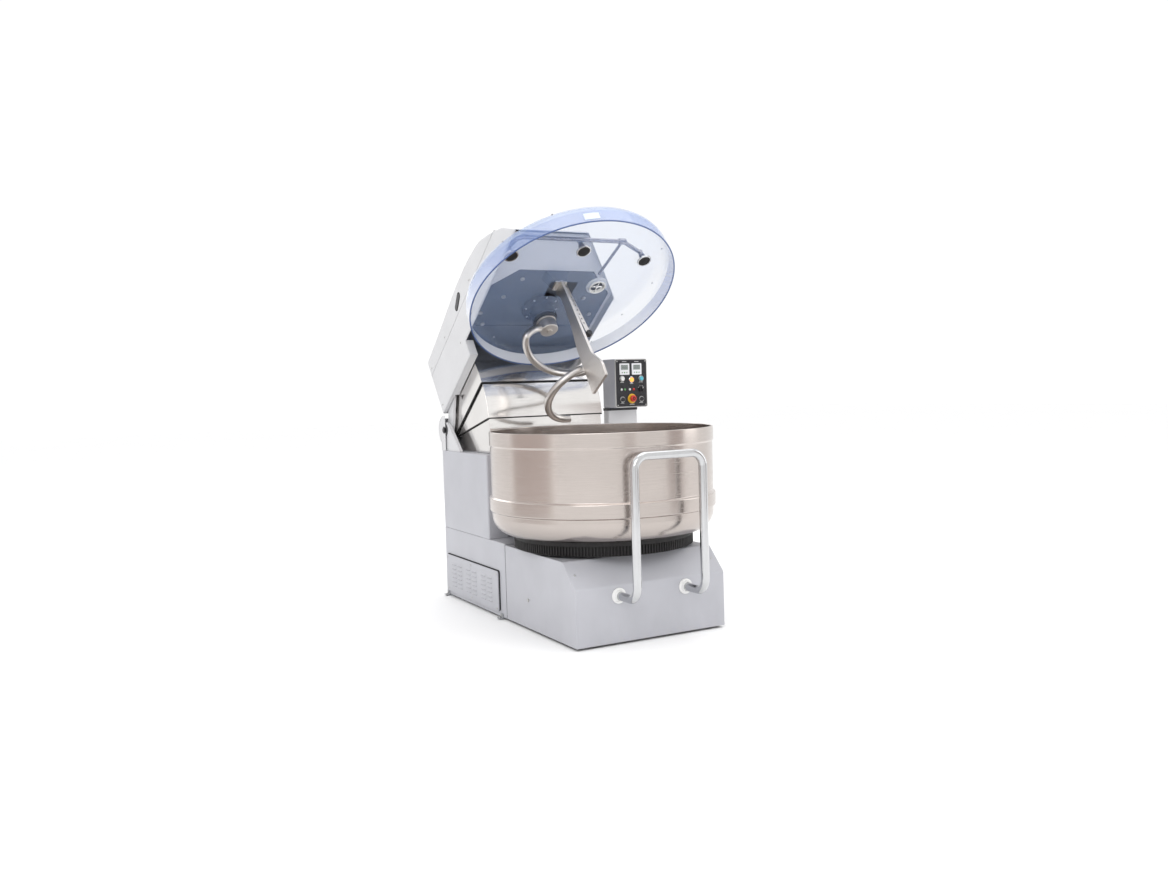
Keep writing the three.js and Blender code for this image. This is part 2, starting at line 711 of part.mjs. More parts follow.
function bowlLid() {
  const wall = 5;
  const dome = [[0, 1124], [465, 1121], [512, 1112], [538, 1094], [LID_R, 1070], [LID_R, LID_RIM_Z]];
  const under = [[LID_R - wall, LID_RIM_Z], [LID_R - wall, 1069], [534, 1091], [510, 1107],
    [464, 1116], [0, 1119]];
  const shell = turned([...dome, ...under], 0, 0, 44);
  const holes = [
    rod(68, [0, SPIRAL_Y, 1080], [0, SPIRAL_Y, 1140], 20),
    block(-80, 80, 20, 136, 1080, 1140),
    rod(46, [...PORT, 1080], [...PORT, 1140], 20),
    ...ROSES.map(([, x, y]) => rod(12, [x, y, 1080], [x, y, 1140], 16)),
  ];
  return cut(shell, ...holes);
}

const PORT = [206, 53];
const ROSES = [["left", -380, -176], ["middle", 0, -228], ["right", 380, -176]];
const WATER_Z = 1156;

function lidPortRing() {
  const [x, y] = PORT;
  return join(ring(58, 40, 1125, 1134, x, y, 20), ring(45, 40, 1112, 1128, x, y, 20));
}

function sprayManifold() {
  const [, middle, right] = ROSES;
  const left = ROSES[0];
  const railY = -250;
  const rail = bar(
    [
      [left[1], left[2], WATER_Z],
      [left[1] + 50, railY + 8, WATER_Z],
      [left[1] + 110, railY, WATER_Z],
      [0, railY, WATER_Z],
      [235, railY, WATER_Z],
    ],
    11, 14, 8,
  );
  const tee = rod(16, [215, railY, WATER_Z], [255, railY, WATER_Z], 16);
  const arm = rod(11, [240, railY, WATER_Z], [right[1], right[2], WATER_Z], 10);
  const strut = rod(8, [235, railY, WATER_Z], [PORT[0], PORT[1] - 64, WATER_Z], 10);
  const link = rod(9, [0, railY, WATER_Z], [0, middle[2], WATER_Z], 10);
  const stems = ROSES.map(([, x, y]) =>
    join(rod(9, [x, y, 1118], [x, y, WATER_Z], 12), rod(13, [x, y, WATER_Z - 13], [x, y, WATER_Z + 12], 16)),
  );
  return join(rail, tee, arm, strut, link, ...stems);
}

function sprayRose(x, y) {
  const profile = [[0, 1094], [30, 1094], [38, 1098], [38, 1103], [10, 1109], [10, 1117.5], [0, 1117.5]];
  return turned(profile, x, y, 28);
}

// ---- trolley ----
const TROLLEY_PROFILE = [
  [TROLLEY_FRONT_Y, GROUND_GAP],
  [SEAM_Y - 1, GROUND_GAP],
  [SEAM_Y - 1, TROLLEY_TOP_Z],
  [TROLLEY_SLOPE_Y, TROLLEY_TOP_Z, 14],
  [TROLLEY_FRONT_Y, TROLLEY_NOSE_Z, 14],
];
const WHEEL = { x: 330, y: 180, r: 70, half: 19 };
const CASTOR = { y: -300, trail: 34, r: 58 };

function trolleyHousing() {
  const outer = prism("x", TROLLEY_PROFILE, -BODY_W, BODY_W);
  const hollow = inset(TROLLEY_PROFILE, SHEET).map(([y, z, r]) => [y, z < 60 ? GROUND_GAP - 2 : z, r]);
  const inner = prism("x", hollow, -BODY_W + SHEET, BODY_W - SHEET);
  let housing = cut(outer, inner);
  for (const [, sign] of SIDES) {
    for (const x of [WHEEL.x - WHEEL.half - 12, WHEEL.x + WHEEL.half + 4])
      housing = join(
        housing,
        prism(
          "x",
          [[WHEEL.y - 60, TROLLEY_TOP_Z - 2], [WHEEL.y - 22, 46, 16], [WHEEL.y + 22, 46, 16],
            [WHEEL.y + 60, TROLLEY_TOP_Z - 2]],
          ...span(sign, x, x + 8),
        ),
      );
    const axle = [WHEEL.y, WHEEL.r];
    housing = join(housing, rod(10, [sign * 300, ...axle], [sign * 362, ...axle], 16));
  }
  const post = rod(16, [0, CASTOR.y, 2 * CASTOR.r + 34], [0, CASTOR.y, TROLLEY_TOP_Z - 2]);
  const plate = rod(60, [0, CASTOR.y, 214], [0, CASTOR.y, 344]);
  const bearing = ring(170, 120, TROLLEY_TOP_Z - 1, 436, 0, 0, 48);
  return join(housing, post, plate, bearing);
}

function castorFork() {
  const { y, trail, r } = CASTOR;
  const crown = 2 * r + 20;
  const legs = SIDES.map(([, sign]) =>
    prism(
      "x",
      [[y - 26, crown], [y + trail - 20, r - 16, 14], [y + trail + 20, r - 16, 14], [y + 30, crown]],
      ...span(sign, 22, 28),
    ),
  );
  const top = cut(
    join(block(-28, 28, y - 34, y + 34, crown - 6, crown + 10), rod(40, [0, y, crown + 4], [0, y, crown + 76])),
    rod(16 + GAP, [0, y, crown + 13], [0, y, crown + 80]),
  );
  const axle = rod(8, [-24, y + trail, r], [24, y + trail, r], 16);
  return join(top, axle, ...legs);
}

function roller(x, y, radius, half, bore) {
  const rim = radius - 5;
  const body = toSolid(
    new THREE.LatheGeometry(
      [[bore, -half], [rim, -half], [radius, -half + 5], [radius, half - 5], [rim, half], [bore, half],
        [bore, -half]].map(([u, v]) => new THREE.Vector2(u, v)),
      24,
    )
      .rotateZ(Math.PI / 2)
      .translate(x, y, radius),
  );
  return body;
}

const HANDLE_X = 181;
const HANDLE_Y = -605;
const HANDLE_Z = { low: 226, top: 862 };

function pushHandle() {
  const bend = 62;
  const points = [];
  const quarter = (x, y, z, place) => {
    for (let i = 0; i <= 6; i++) points.push(place((i * Math.PI) / 12, x, y, z));
  };
  const { low, top } = HANDLE_Z;
  points.push([-HANDLE_X, TROLLEY_FRONT_Y - 9, low], [-HANDLE_X, TROLLEY_FRONT_Y - 60, low]);
  quarter(-HANDLE_X, HANDLE_Y + bend, low + bend, (a, x, y, z) => [
    x,
    y - bend * Math.sin(a),
    z - bend * Math.cos(a),
  ]);
  quarter(-HANDLE_X + bend, HANDLE_Y, top - bend, (a, x, y, z) => [
    x - bend * Math.cos(a),
    y,
    z + bend * Math.sin(a),
  ]);
  const mirrored = points.map(([x, y, z]) => [-x, y, z]).reverse();
  return bar([...points, ...mirrored], 20, 44, 10);
}

function handleBushing(sign) {
  const y = TROLLEY_FRONT_Y;
  return join(
    rod(36, [sign * HANDLE_X, y - 8, HANDLE_Z.low], [sign * HANDLE_X, y - GAP, HANDLE_Z.low]),
    rod(28, [sign * HANDLE_X, y - 22, HANDLE_Z.low], [sign * HANDLE_X, y - 7, HANDLE_Z.low]),
  ).subtract(rod(20 + GAP, [sign * HANDLE_X, y - 40, HANDLE_Z.low], [sign * HANDLE_X, y - 8.8, HANDLE_Z.low]));
}

// ---- bowl ----
function bowl() {
  const wall = 5;
  const r = BOWL_R - 5;
  const corner = 96;
  const arc = (radius, from, to, steps) => {
    const list = [];
    for (let i = 0; i <= steps; i++) {
      const a = rad(from + ((to - from) * i) / steps);
      list.push([r - corner + radius * Math.cos(a), BOWL_FLOOR_Z + corner + radius * Math.sin(a)]);
    }
    return list;
  };
  const outside = [[0, BOWL_FLOOR_Z], ...arc(corner, -90, 0, 5)];
  const bandLow = 585;
  const bandHigh = 645;
  const bands = [[r, bandLow - 8], [BAND_R, bandLow], [BAND_R, bandHigh], [r, bandHigh + 8], [r, 896],
    [BOWL_R, 900], [BOWL_R, BOWL_RIM_Z]];
  const inside = [[r - wall, BOWL_RIM_Z], ...arc(corner - wall, 0, -90, 5), [0, BOWL_FLOOR_Z + wall]];
  const shell = turned([...outside, ...bands, ...inside], 0, 0, 44);
  const boss = turned([[0, 438], [165, 438], [165, BOWL_FLOOR_Z + 1], [0, BOWL_FLOOR_Z + 1]], 0, 0, 36);
  return join(shell, boss);
}

function bowlRingGear() {
  const gear = ring(RING_R, RING_R - 42, 397, BOWL_FLOOR_Z - GAP, 0, 0, 44);
  const spokes = SIDES.map(([, sign]) => block(...span(sign, 175, 405), -20, 20, 440, BOWL_FLOOR_Z - GAP));
  return join(gear, ...spokes);
}

// ---- put the pieces together ----
add(machine, "chassis_frame", chassisFrame(), "darkSteel");
add(machine, "lower_body_shell", lowerBodyShell(), "paint");
add(machine, "column_shell", columnShell(), "paint");
add(machine, "column_top_plate", columnTopPlate(), "paint");
for (const [side, sign] of SIDES) add(machine, "side_vent_" + side, louvredVent(sign), "paint");
[[-368, 385], [368, 385], [-368, 1080], [368, 1080]].forEach(([x, y], i) =>
  add(machine, "levelling_foot_" + (i + 1), levellingFoot(x, y), "darkSteel"),
);
for (const [side, sign] of SIDES) add(machine, "hinge_pin_" + side, hingePin(sign), "darkSteel");
add(machine, "rear_round_cover", rearRoundCover(), "cover");
add(machine, "fixed_shield", fixedShield(), "mirror");
add(ramGroup, "lift_cylinder_barrel", ramBarrel(), "darkSteel");
add(ramGroup, "lift_cylinder_rod", ramRod(), "chrome");
add(machine, "bowl_drive_motor", bowlDriveMotor(), "darkSteel");
add(machine, "bowl_drive_pinion", bowlDrivePinion(), "castIron");

add(machine, "control_post", controlPost(), "paint");
add(machine, "control_box", controlBox(), "paint");
const stemHoles = [...Object.values(BUTTONS), STOP].map((place) =>
  facing(9 + GAP, place, FACE_Y - 5, FACE_Y + 10),
);
add(machine, "control_fascia", controlFascia(stemHoles), "black");
for (const [name, x] of Object.entries(DISPLAYS))
  add(machine, name, block(x - 32, x + 32, FACE_Y - 2, FACE_Y - GAP, 1228, 1292), "white");
add(machine, "indicator_lamp", facing(13, LAMP, FACE_Y - GAP, FACE_Y - 9), "amber");
for (const [name, place] of Object.entries(BUTTONS)) add(machine, name, pushButton(place), place.finish);
add(machine, "speed_selector", speedSelector(), "black");
add(machine, "emergency_stop", emergencyStop(), "red");

add(head, "head_frame", headFrame(), "castIron");
add(head, "head_top_cover", headTopCover(), "cover");
add(head, "head_side_shell", headSideShell(), "cover");
add(head, "head_shroud", headShroud(), "mirror");
add(visorGroup, "visor", visor(), "mirror");
add(head, "spiral_motor", spiralMotor(), "darkSteel");
add(head, "motor_pulley", motorPulley(), "castIron");
add(head, "drive_belt", driveBelt(), "black");
add(head, "spiral_pulley", pulley(SPIRAL_PULLEY_R, 38 + GAP, 0, SPIRAL_Y), "castIron");
add(head, "spiral_shaft", spiralShaft(), "steel");
add(head, "spiral_hook", spiralHook(), "steel");
add(head, "dough_probe", doughProbe(), "steel");
add(head, "breaker_blade", breakerBlade(), "steel");
add(head, "bowl_lid", bowlLid(), "clear");
add(head, "lid_port_ring", lidPortRing(), "white");
add(head, "spray_manifold", sprayManifold(), "chrome");
for (const [side, x, y] of ROSES) add(head, "spray_rose_" + side, sprayRose(x, y), "steel");

add(machine, "trolley_housing", trolleyHousing(), "paint");
add(machine, "push_handle", pushHandle(), "chrome");
for (const [side, sign] of SIDES) {
  add(machine, "handle_bushing_" + side, handleBushing(sign), "white");
  const wheel = roller(sign * WHEEL.x, WHEEL.y, WHEEL.r, WHEEL.half, 10 + GAP);
  add(machine, "trolley_wheel_" + side, wheel, "black");
}
add(machine, "castor_fork", castorFork(), "darkSteel");
add(machine, "castor_wheel", roller(0, CASTOR.y + CASTOR.trail, CASTOR.r, 18, 8 + GAP), "black");
add(machine, "bowl_ring_gear", bowlRingGear(), "black");
add(machine, "bowl", bowl(), "steel");

// The part's origin is under the middle of its box, on the floor.
machine.updateMatrixWorld(true);
const box = new THREE.Box3().setFromObject(machine, true);
const centre = box.getCenter(new THREE.Vector3());
machine.position.set(-centre.x, -centre.y, -box.min.z);

export default whole;
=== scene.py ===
import math

import bmesh
import bpy
from mathutils import Matrix, Vector


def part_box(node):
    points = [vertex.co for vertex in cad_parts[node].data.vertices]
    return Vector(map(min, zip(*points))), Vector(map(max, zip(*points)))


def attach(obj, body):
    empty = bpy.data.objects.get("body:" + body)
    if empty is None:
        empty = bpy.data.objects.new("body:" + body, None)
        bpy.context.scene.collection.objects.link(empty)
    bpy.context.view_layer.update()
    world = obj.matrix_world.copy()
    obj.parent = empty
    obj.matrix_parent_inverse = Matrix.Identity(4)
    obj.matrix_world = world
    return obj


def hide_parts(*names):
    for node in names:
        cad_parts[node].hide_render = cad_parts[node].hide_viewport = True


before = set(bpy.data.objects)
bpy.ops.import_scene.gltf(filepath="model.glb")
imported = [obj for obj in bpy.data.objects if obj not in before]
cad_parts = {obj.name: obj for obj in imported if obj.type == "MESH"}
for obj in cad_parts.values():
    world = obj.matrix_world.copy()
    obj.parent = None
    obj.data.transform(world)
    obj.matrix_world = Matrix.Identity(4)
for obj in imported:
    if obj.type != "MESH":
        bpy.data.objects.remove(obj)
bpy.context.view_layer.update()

# Pieces are drawn in the design's millimetres, with the bowl's axis at x = y = 0 and the head lowered.
# They are then tipped with the body they ride on, and moved into the row frame.
BOWL_LOW, BOWL_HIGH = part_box("bowl")
TO_ROW = (Matrix.Translation(((BOWL_LOW.x + BOWL_HIGH.x) / 2, (BOWL_LOW.y + BOWL_HIGH.y) / 2, 0))
          @ Matrix.Diagonal((0.001, 0.001, 0.001, 1)))
HINGE = (1074, 946)  # y and z of the head's hinge line
BODY_W = 404  # half the width of body, trolley and hood
SEAM_Y = 300  # where the docked trolley meets the body
BODY_REAR_Y = 1123
BODY_LOW = 12  # the covers' gap over the floor
BLOCK_TOP = 392
COLUMN_TOP = 830
TROLLEY_TOP = 386
TROLLEY_NOSE = -441
SEAM_Z = 1298  # between the hood's top and its sides
FRAME_Z = 1218  # underside of the head's tray
SHEET = 4  # thickness of the covers
SPIRAL_Y = 318
SPIRAL = (0, SPIRAL_Y, 0)
PINION_Y = 498  # the bowl's drive, behind its ring
WHEEL_X = 330
AXLE = (180, 70)  # y and z of the trolley's two wheels
PANEL = {"x0": 418, "x1": 628, "y": 560, "z0": 1044, "z1": 1318}
PANEL_X = 523  # the panel's middle
FACE_Y = 554  # the face that the controls stand on
# Node, offset from the panel's middle, height, and slot.
BUTTONS = (("light_button", -62, 1206, "white_plastic"), ("start_button", 62, 1206, "cyan_plastic"),
           ("jog_button", -62, 1090, "black_plastic"), ("stop_button", 62, 1090, "black_plastic"))
SELECTOR = (PANEL_X + 62, 1146)
STOP_Z = 1094
HEAD_RAISED = 36.6  # degrees from lowered, as the machine stands at rest
VISOR_RAISED = 14.9


def tipped(degrees):
    """A turn about the hinge line that lifts what lies in front of it."""
    hinge = Matrix.Translation((0, *HINGE))
    return hinge @ Matrix.Rotation(-math.radians(degrees), 4, "X") @ hinge.inverted()


TIPPED = {"head": tipped(HEAD_RAISED), "spiral": tipped(HEAD_RAISED), "visor": tipped(VISOR_RAISED)}
SIDES = (("left", -1), ("right", 1))


# ---------------------------------------------------------------- materials
class Look:
    """A procedural material being put together from nodes."""

    def __init__(self, name):
        self.mat = bpy.data.materials.new(name)
        self.mat.use_nodes = True
        self.tree = self.mat.node_tree
        self.shader = self.tree.nodes["Principled BSDF"]
        self.place = self.tree.nodes.new("ShaderNodeTexCoord").outputs["Object"]

    def node(self, kind, **values):
        made = self.tree.nodes.new("ShaderNode" + kind)
        for key, value in values.items():
            setattr(made, key, value)
        return made

    def link(self, start, end):
        self.tree.links.new(start, end)

    def noise(self, scale, stretch=(1, 1, 1), detail=4, roughness=0.5):
        mapping = self.node("Mapping")
        mapping.inputs["Scale"].default_value = stretch
        self.link(self.place, mapping.inputs["Vector"])
        noise = self.node("TexNoise")
        noise.inputs["Scale"].default_value = scale
        noise.inputs["Detail"].default_value = detail
        noise.inputs["Roughness"].default_value = roughness
        self.link(mapping.outputs["Vector"], noise.inputs["Vector"])
        return noise.outputs["Fac"]

    def spread(self, source, low, high, start=0.3, end=0.7):
        made = self.node("MapRange")
        for key, value in (("From Min", start), ("From Max", end), ("To Min", low), ("To Max", high)):
            made.inputs[key].default_value = value
        self.link(source, made.inputs["Value"])
        return made.outputs["Result"]

    def mix(self, factor, first, second):
        made = self.node("Mix", data_type="RGBA")
        self.link(factor, made.inputs[0])
        for socket, value in ((made.inputs[6], first), (made.inputs[7], second)):
            if isinstance(value, tuple):
                socket.default_value = (*value, 1)
            else:
                self.link(value, socket)
        return made.outputs[2]

    def coordinate(self, axis):
        split = self.node("SeparateXYZ")
        self.link(self.place, split.inputs[0])
        return split.outputs[axis]

    def maths(self, operation, first, second):
        made = self.node("Math", operation=operation)
        self.link(first, made.inputs[0])
        self.link(second, made.inputs[1])
        return made.outputs[0]

    def drive(self, **sources):
        for key, source in sources.items():
            self.link(source, self.shader.inputs[key.replace("_", " ")])

    def bump(self, source, strength, distance):
        made = self.node("Bump")
        made.inputs["Strength"].default_value = strength
        made.inputs["Distance"].default_value = distance
        self.link(source, made.inputs["Height"])
        self.drive(Normal=made.outputs["Normal"])

    def set(self, **values):
        for key, value in values.items():
            self.shader.inputs[key.replace("_", " ")].default_value = value
        return self


def shaded(colour, share):
    return tuple(c * share for c in colour)


def painted(name, colour, rough=(0.36, 0.46), grime=0.12, peel=0.12):
    """Powder coat: a fine orange peel, faint mottling, and dust towards the floor."""
    look = Look(name)
    mottle = look.spread(look.noise(5, detail=5), 0, 1)
    dust = look.spread(look.coordinate("Z"), grime, 0, 0.0, 0.22)
    patches = look.spread(look.noise(14, (1, 1, 0.4), 6, 0.7), 0.4, 1.6)
    tone = look.mix(mottle, colour, shaded(colour, 0.93))
    tone = look.mix(look.maths("MULTIPLY", dust, patches), tone, shaded(colour, 0.45))
    look.drive(Base_Color=tone, Roughness=look.spread(look.noise(9, detail=6, roughness=0.65), *rough))
    look.bump(look.noise(420, detail=2), peel, 0.0004)
    return look.mat


def steel(name, colour, rough, brush, strength=0.05, fine=260, second=0.9, foot=None):
    """Ground or polished metal: fine scratches drawn out along one direction.

    Foot is (height, height, shade): a painted shade, which darkens the colour to the shade's share of itself
    below the first height and fades out by the second height, in place of a darker reflection low on the
    part.
    """
    look = Look(name)
    look.set(Metallic=1.0)
    lines = look.noise(fine, brush, 3, 0.6)
    cloud = look.noise(4, detail=5, roughness=0.6)
    tone = look.mix(look.spread(cloud, 0, 1), colour, shaded(colour, second))
    tone = look.mix(look.spread(lines, 0, 0.35), tone, shaded(colour, 0.8))
    # painted shade: the colour darkens towards the bottom of the part
    if foot:
        low, high, shade = foot
        tone = look.mix(look.spread(look.coordinate("Z"), 1, 0, low, high), tone, shaded(colour, shade))
    wear = look.maths("ADD", look.spread(lines, *rough), look.spread(cloud, -0.02, 0.03))
    look.drive(Base_Color=tone, Roughness=wear)
    look.bump(lines, strength, 0.0003)
    return look.mat


def moulded(name, colour, rough=(0.4, 0.55), grain=700, strength=0.1, second=0.85):
    """Plastic or rubber with a fine moulded grain and slight fading."""
    look = Look(name)
    fade = look.spread(look.noise(22, detail=5), 0, 1)
    look.drive(Base_Color=look.mix(fade, colour, shaded(colour, second)),
               Roughness=look.spread(look.noise(60, detail=6), *rough))
    look.bump(look.noise(grain, detail=2), strength, 0.0003)
    return look.mat


def lid_material(name, near, far, thin, thick, painted_reflection_below=None):
    """Blue-tinted clear plastic, deeper in colour where it is seen edge on.

    The last argument is (height, height): below the first height the plastic is painted whiter and less
    clear, a painted reflection of bright light in the lower skirt.
    """
    look = Look(name)
    weight = look.node("LayerWeight")
    weight.inputs["Blend"].default_value = 0.35
    edge_on = weight.outputs["Facing"]
    haze = look.spread(look.noise(7, detail=4), 0, 0.12)
    tint = look.mix(look.spread(edge_on, 0, 1, 0.1, 0.9), near, far)
    tint = look.mix(haze, tint, (0.7, 0.8, 0.95))
    cover = look.spread(edge_on, thin, thick, 0.15, 0.95)
    # painted reflection: whiter and more opaque towards the bottom
    if painted_reflection_below:
        tint = look.mix(look.spread(look.coordinate("Z"), 0, 1, *painted_reflection_below), (0.93, 0.95, 1.0), tint)
        cover = look.maths("ADD", cover, look.spread(look.coordinate("Z"), 0.4, 0, *painted_reflection_below))
    look.drive(Base_Color=tint, Alpha=cover, Roughness=look.spread(look.noise(30, detail=5), 0.03, 0.09))
    look.set(Coat_Weight=0.6, Coat_Roughness=0.03)
    return look.mat


def lamp_material():
    """A lit amber lens."""
    look = Look("amber_lens_lit")
    ripples = look.spread(look.noise(300, detail=2), 0, 1)
    look.drive(Base_Color=look.mix(ripples, (1.0, 0.34, 0.04), (1.0, 0.2, 0.02)),
               Emission_Color=look.mix(ripples, (1.0, 0.42, 0.08), (1.0, 0.3, 0.05)))
    look.set(Emission_Strength=1.3, Roughness=0.2)
    return look.mat


MATS = {
    "body_paint": painted("body_paint_coat", (0.475, 0.478, 0.515)),
    "head_paint": painted("head_cover_coat", (0.63, 0.63, 0.645), (0.3, 0.4), 0, 0.06),
    "frame_steel": painted("frame_steel_coat", (0.34, 0.35, 0.37), (0.4, 0.55), 0.1, 0.2),
    "shield_steel": steel("shield_mirror_steel", (0.86, 0.84, 0.82), (0.10, 0.2), (0.04, 1, 1), 0.03, 320),
    "chromed_tube": steel("polished_chrome", (0.62, 0.625, 0.635), (0.08, 0.16), (1, 1, 0.2), 0.01, 90,
                          0.97),
    # the bowl's colour is darker low down, a painted shade for its darker reflection there
    "bowl_steel": steel("bowl_polished_steel", (0.62, 0.56, 0.525), (0.15, 0.27), (0.03, 0.03, 1.4), 0.05,
                        220, foot=(0.46, 0.70, 0.74)),
    "tool_steel": steel("tool_satin_steel", (0.66, 0.63, 0.605), (0.27, 0.4), (1, 1, 0.15), 0.08, 180),
    "cast_iron": painted("cast_iron_coat", (0.085, 0.10, 0.13), (0.35, 0.5), 0.0, 0.1),
    "ring_black": moulded("ring_black_nylon", (0.007, 0.006, 0.0065), (0.55, 0.7), 500, 0.2),
    "belt_rubber": moulded("belt_black_rubber", (0.02, 0.02, 0.02), (0.6, 0.8), 300, 0.3),
    "wheel_rubber": moulded("wheel_black_rubber", (0.03, 0.03, 0.032), (0.55, 0.75), 240, 0.3),
    "black_plastic": moulded("panel_black_plastic", (0.018, 0.018, 0.022), (0.25, 0.4), 900, 0.06),
    "display_white": moulded("display_white_plastic", (0.80, 0.80, 0.82), (0.25, 0.35), 900, 0.03, 0.95),
    "white_plastic": moulded("bushing_white_nylon", (0.82, 0.82, 0.81), (0.35, 0.5), 600, 0.08, 0.94),
    "amber_lens": lamp_material(),
    "cyan_plastic": moulded("button_cyan_plastic", (0.10, 0.50, 0.62), (0.22, 0.35), 800, 0.05),
    "red_plastic": moulded("button_red_plastic", (0.62, 0.03, 0.02), (0.22, 0.35), 800, 0.05),
    "clear_lid": lid_material("clear_lid_blue", (0.42, 0.56, 0.84), (0.16, 0.27, 0.58), 0.10, 0.48),
}
# painted light: a paler copy of the hood's paint for the floor over the lid, which lies in shade
FLOOR_PAINTED_LIGHT = painted("head_floor_painted_light_coat", (0.90, 0.91, 0.95), (0.35, 0.45), 0, 0.06)
YELLOW = moulded("collar_yellow_plastic", (0.85, 0.50, 0.03), (0.3, 0.45), 700, 0.06)
SCREEN = moulded("display_window_grey", (0.34, 0.38, 0.36), (0.12, 0.2), 900, 0.02)
GREEN = moulded("led_green_plastic", (0.12, 0.35, 0.12), (0.2, 0.3), 900, 0.02)
# Near-black: the painted shadow in gaps and openings, and the real black of the stop button's ring mark and
# the hood slots' rims.
DARK = moulded("recess_black", (0.008, 0.008, 0.009), (0.6, 0.8), 400, 0.1)
BOLT = steel("bolt_zinc_steel", (0.62, 0.62, 0.61), (0.25, 0.4), (1, 1, 1), 0.1, 300)
PIPE = steel("pipe_dull_chrome", (0.36, 0.35, 0.38), (0.18, 0.3), (1, 1, 1), 0.05, 160)
BLACK_BOLT = steel("bolt_black_oxide", (0.10, 0.10, 0.105), (0.3, 0.5), (1, 1, 1), 0.15, 300)
TAB = moulded("lid_tab_pale_blue", (0.66, 0.73, 0.86), (0.3, 0.4), 600, 0.05, 0.95)
# the skirt carries a painted reflection low down, whiter and less clear
LID_SKIRT = lid_material("clear_lid_skirt_blue", (0.20, 0.31, 0.66), (0.15, 0.25, 0.56), 0.24, 0.55,
                         (1.50, 1.85))
CLEAR_EDGE = moulded("lid_edge_blue", (0.10, 0.15, 0.32), (0.15, 0.25), 500, 0.04)


# ---------------------------------------------------------------- mesh tools
def made(name, bm, orient=True):
    if orient:
        bmesh.ops.recalc_face_normals(bm, faces=bm.faces)
    mesh = bpy.data.meshes.new(name)
    bm.to_mesh(mesh)
    bm.free()
    obj = bpy.data.objects.new(name, mesh)
    bpy.context.scene.collection.objects.link(obj)
    return obj


def applied(obj):
    bpy.context.view_layer.update()
    graph = bpy.context.evaluated_depsgraph_get()
    mesh = bpy.data.meshes.new_from_object(obj.evaluated_get(graph))
    obj.modifiers.clear()
    obj.data = mesh
    return obj


def thickened(obj, wall, even=True):
    """A surface made into sheet of one thickness, inwards."""
    sheet = obj.modifiers.new("wall", "SOLIDIFY")
    sheet.thickness = wall
    sheet.offset = -1
    sheet.use_even_offset = even
    return applied(obj)


def drop_faces(bm, is_open):
    if is_open:
        bm.normal_update()
        gone = [f for f in bm.faces if is_open(f.calc_center_median(), f.normal)]
        bmesh.ops.delete(bm, geom=gone, context="FACES")


def carve(obj, *tools):
    for tool in tools:
        cut = obj.modifiers.new("cut", "BOOLEAN")
        cut.object = tool
        cut.operation = "DIFFERENCE"
        cut.solver = "EXACT"
    applied(obj)
    for tool in tools:
        bpy.data.objects.remove(tool)
    return obj


def merged(name, *objs):
    """One object from several that share a body and a material."""
    bm = bmesh.new()
    for obj in objs:
        bm.from_mesh(obj.data)
        bpy.data.objects.remove(obj)
    return made(name, bm, orient=False)


def fillet(points, steps=6, closed=True):
    """Points (u, v) or (u, v, reach): the corner is rounded from reach before it to reach after it."""
    out = []
    for i, point in enumerate(points):
        here = Vector(point[:2])
        reach = point[2] if len(point) > 2 else 0
        if reach <= 0 or (not closed and i in (0, len(points) - 1)):
            out.append(here)
            continue
        back = Vector(points[i - 1][:2]) - here
        on = Vector(points[(i + 1) % len(points)][:2]) - here
        reach = min(reach, back.length * 0.49, on.length * 0.49)
        half = back.angle(on) / 2
        radius = reach * math.tan(half)
        middle = here + (back.normalized() + on.normalized()).normalized() * (reach / math.cos(half))
        first = here + back.normalized() * reach - middle
        last = here + on.normalized() * reach - middle
        start = math.atan2(first.y, first.x)
        sweep = (math.atan2(last.y, last.x) - start + math.pi) % (2 * math.pi) - math.pi
        for k in range(steps + 1):
            angle = start + sweep * k / steps
            out.append(middle + radius * Vector((math.cos(angle), math.sin(angle))))
    return out


def rectangle(u0, u1, v0, v1, reach=0.0, steps=6):
    return fillet([(u0, v0, reach), (u1, v0, reach), (u1, v1, reach), (u0, v1, reach)], steps)


def angles(count):
    return [2 * math.pi * i / count for i in range(count)]


def circle(radius, count, u=0.0, v=0.0):
    return [Vector((u + radius * math.cos(a), v + radius * math.sin(a))) for a in angles(count)]


def arc(u, v, radius, start, end, steps):
    turns = [math.radians(start + (end - start) * i / steps) for i in range(steps + 1)]
    return [(u + radius * math.cos(a), v + radius * math.sin(a)) for a in turns]


# From a point (u, v) of an outline and a distance w along the prism's axis.
PLACE = {"x": lambda u, v, w: Vector((w, u, v)), "y": lambda u, v, w: Vector((u, w, v)),
         "z": lambda u, v, w: Vector((u, v, w))}


def skin(bm, rings):
    """Faces between each ring of corners and the next."""
    for a, b in zip(rings, rings[1:]):
        for i in range(len(a)):
            j = (i + 1) % len(a)
            bm.faces.new((a[i], a[j], b[j], b[i]))


def prism(name, outline, axis, low, high, edge=0.0, steps=3, ends="both", is_open=None, wall=0.0):
    """A prism along an axis with rounded end edges. Open faces are dropped, and a wall makes it sheet."""
    bm = bmesh.new()
    place = PLACE[axis]
    rings = [[bm.verts.new(place(p[0], p[1], w)) for p in outline] for w in (low, high)]
    bm.faces.new(rings[0])
    bm.faces.new(rings[1])
    skin(bm, rings)
    bmesh.ops.recalc_face_normals(bm, faces=bm.faces)
    if edge:
        chosen = [r for r, n in zip(rings, ("low", "high")) if ends in ("both", n)]
        rims = [e for r in chosen for e in bm.edges if e.verts[0] in r and e.verts[1] in r]
        bmesh.ops.bevel(bm, geom=list(set(rims)), offset=edge, segments=steps, profile=0.5,
                        affect="EDGES", clamp_overlap=False)
    drop_faces(bm, is_open)
    obj = made(name, bm, orient=False)
    return thickened(obj, wall) if wall else obj


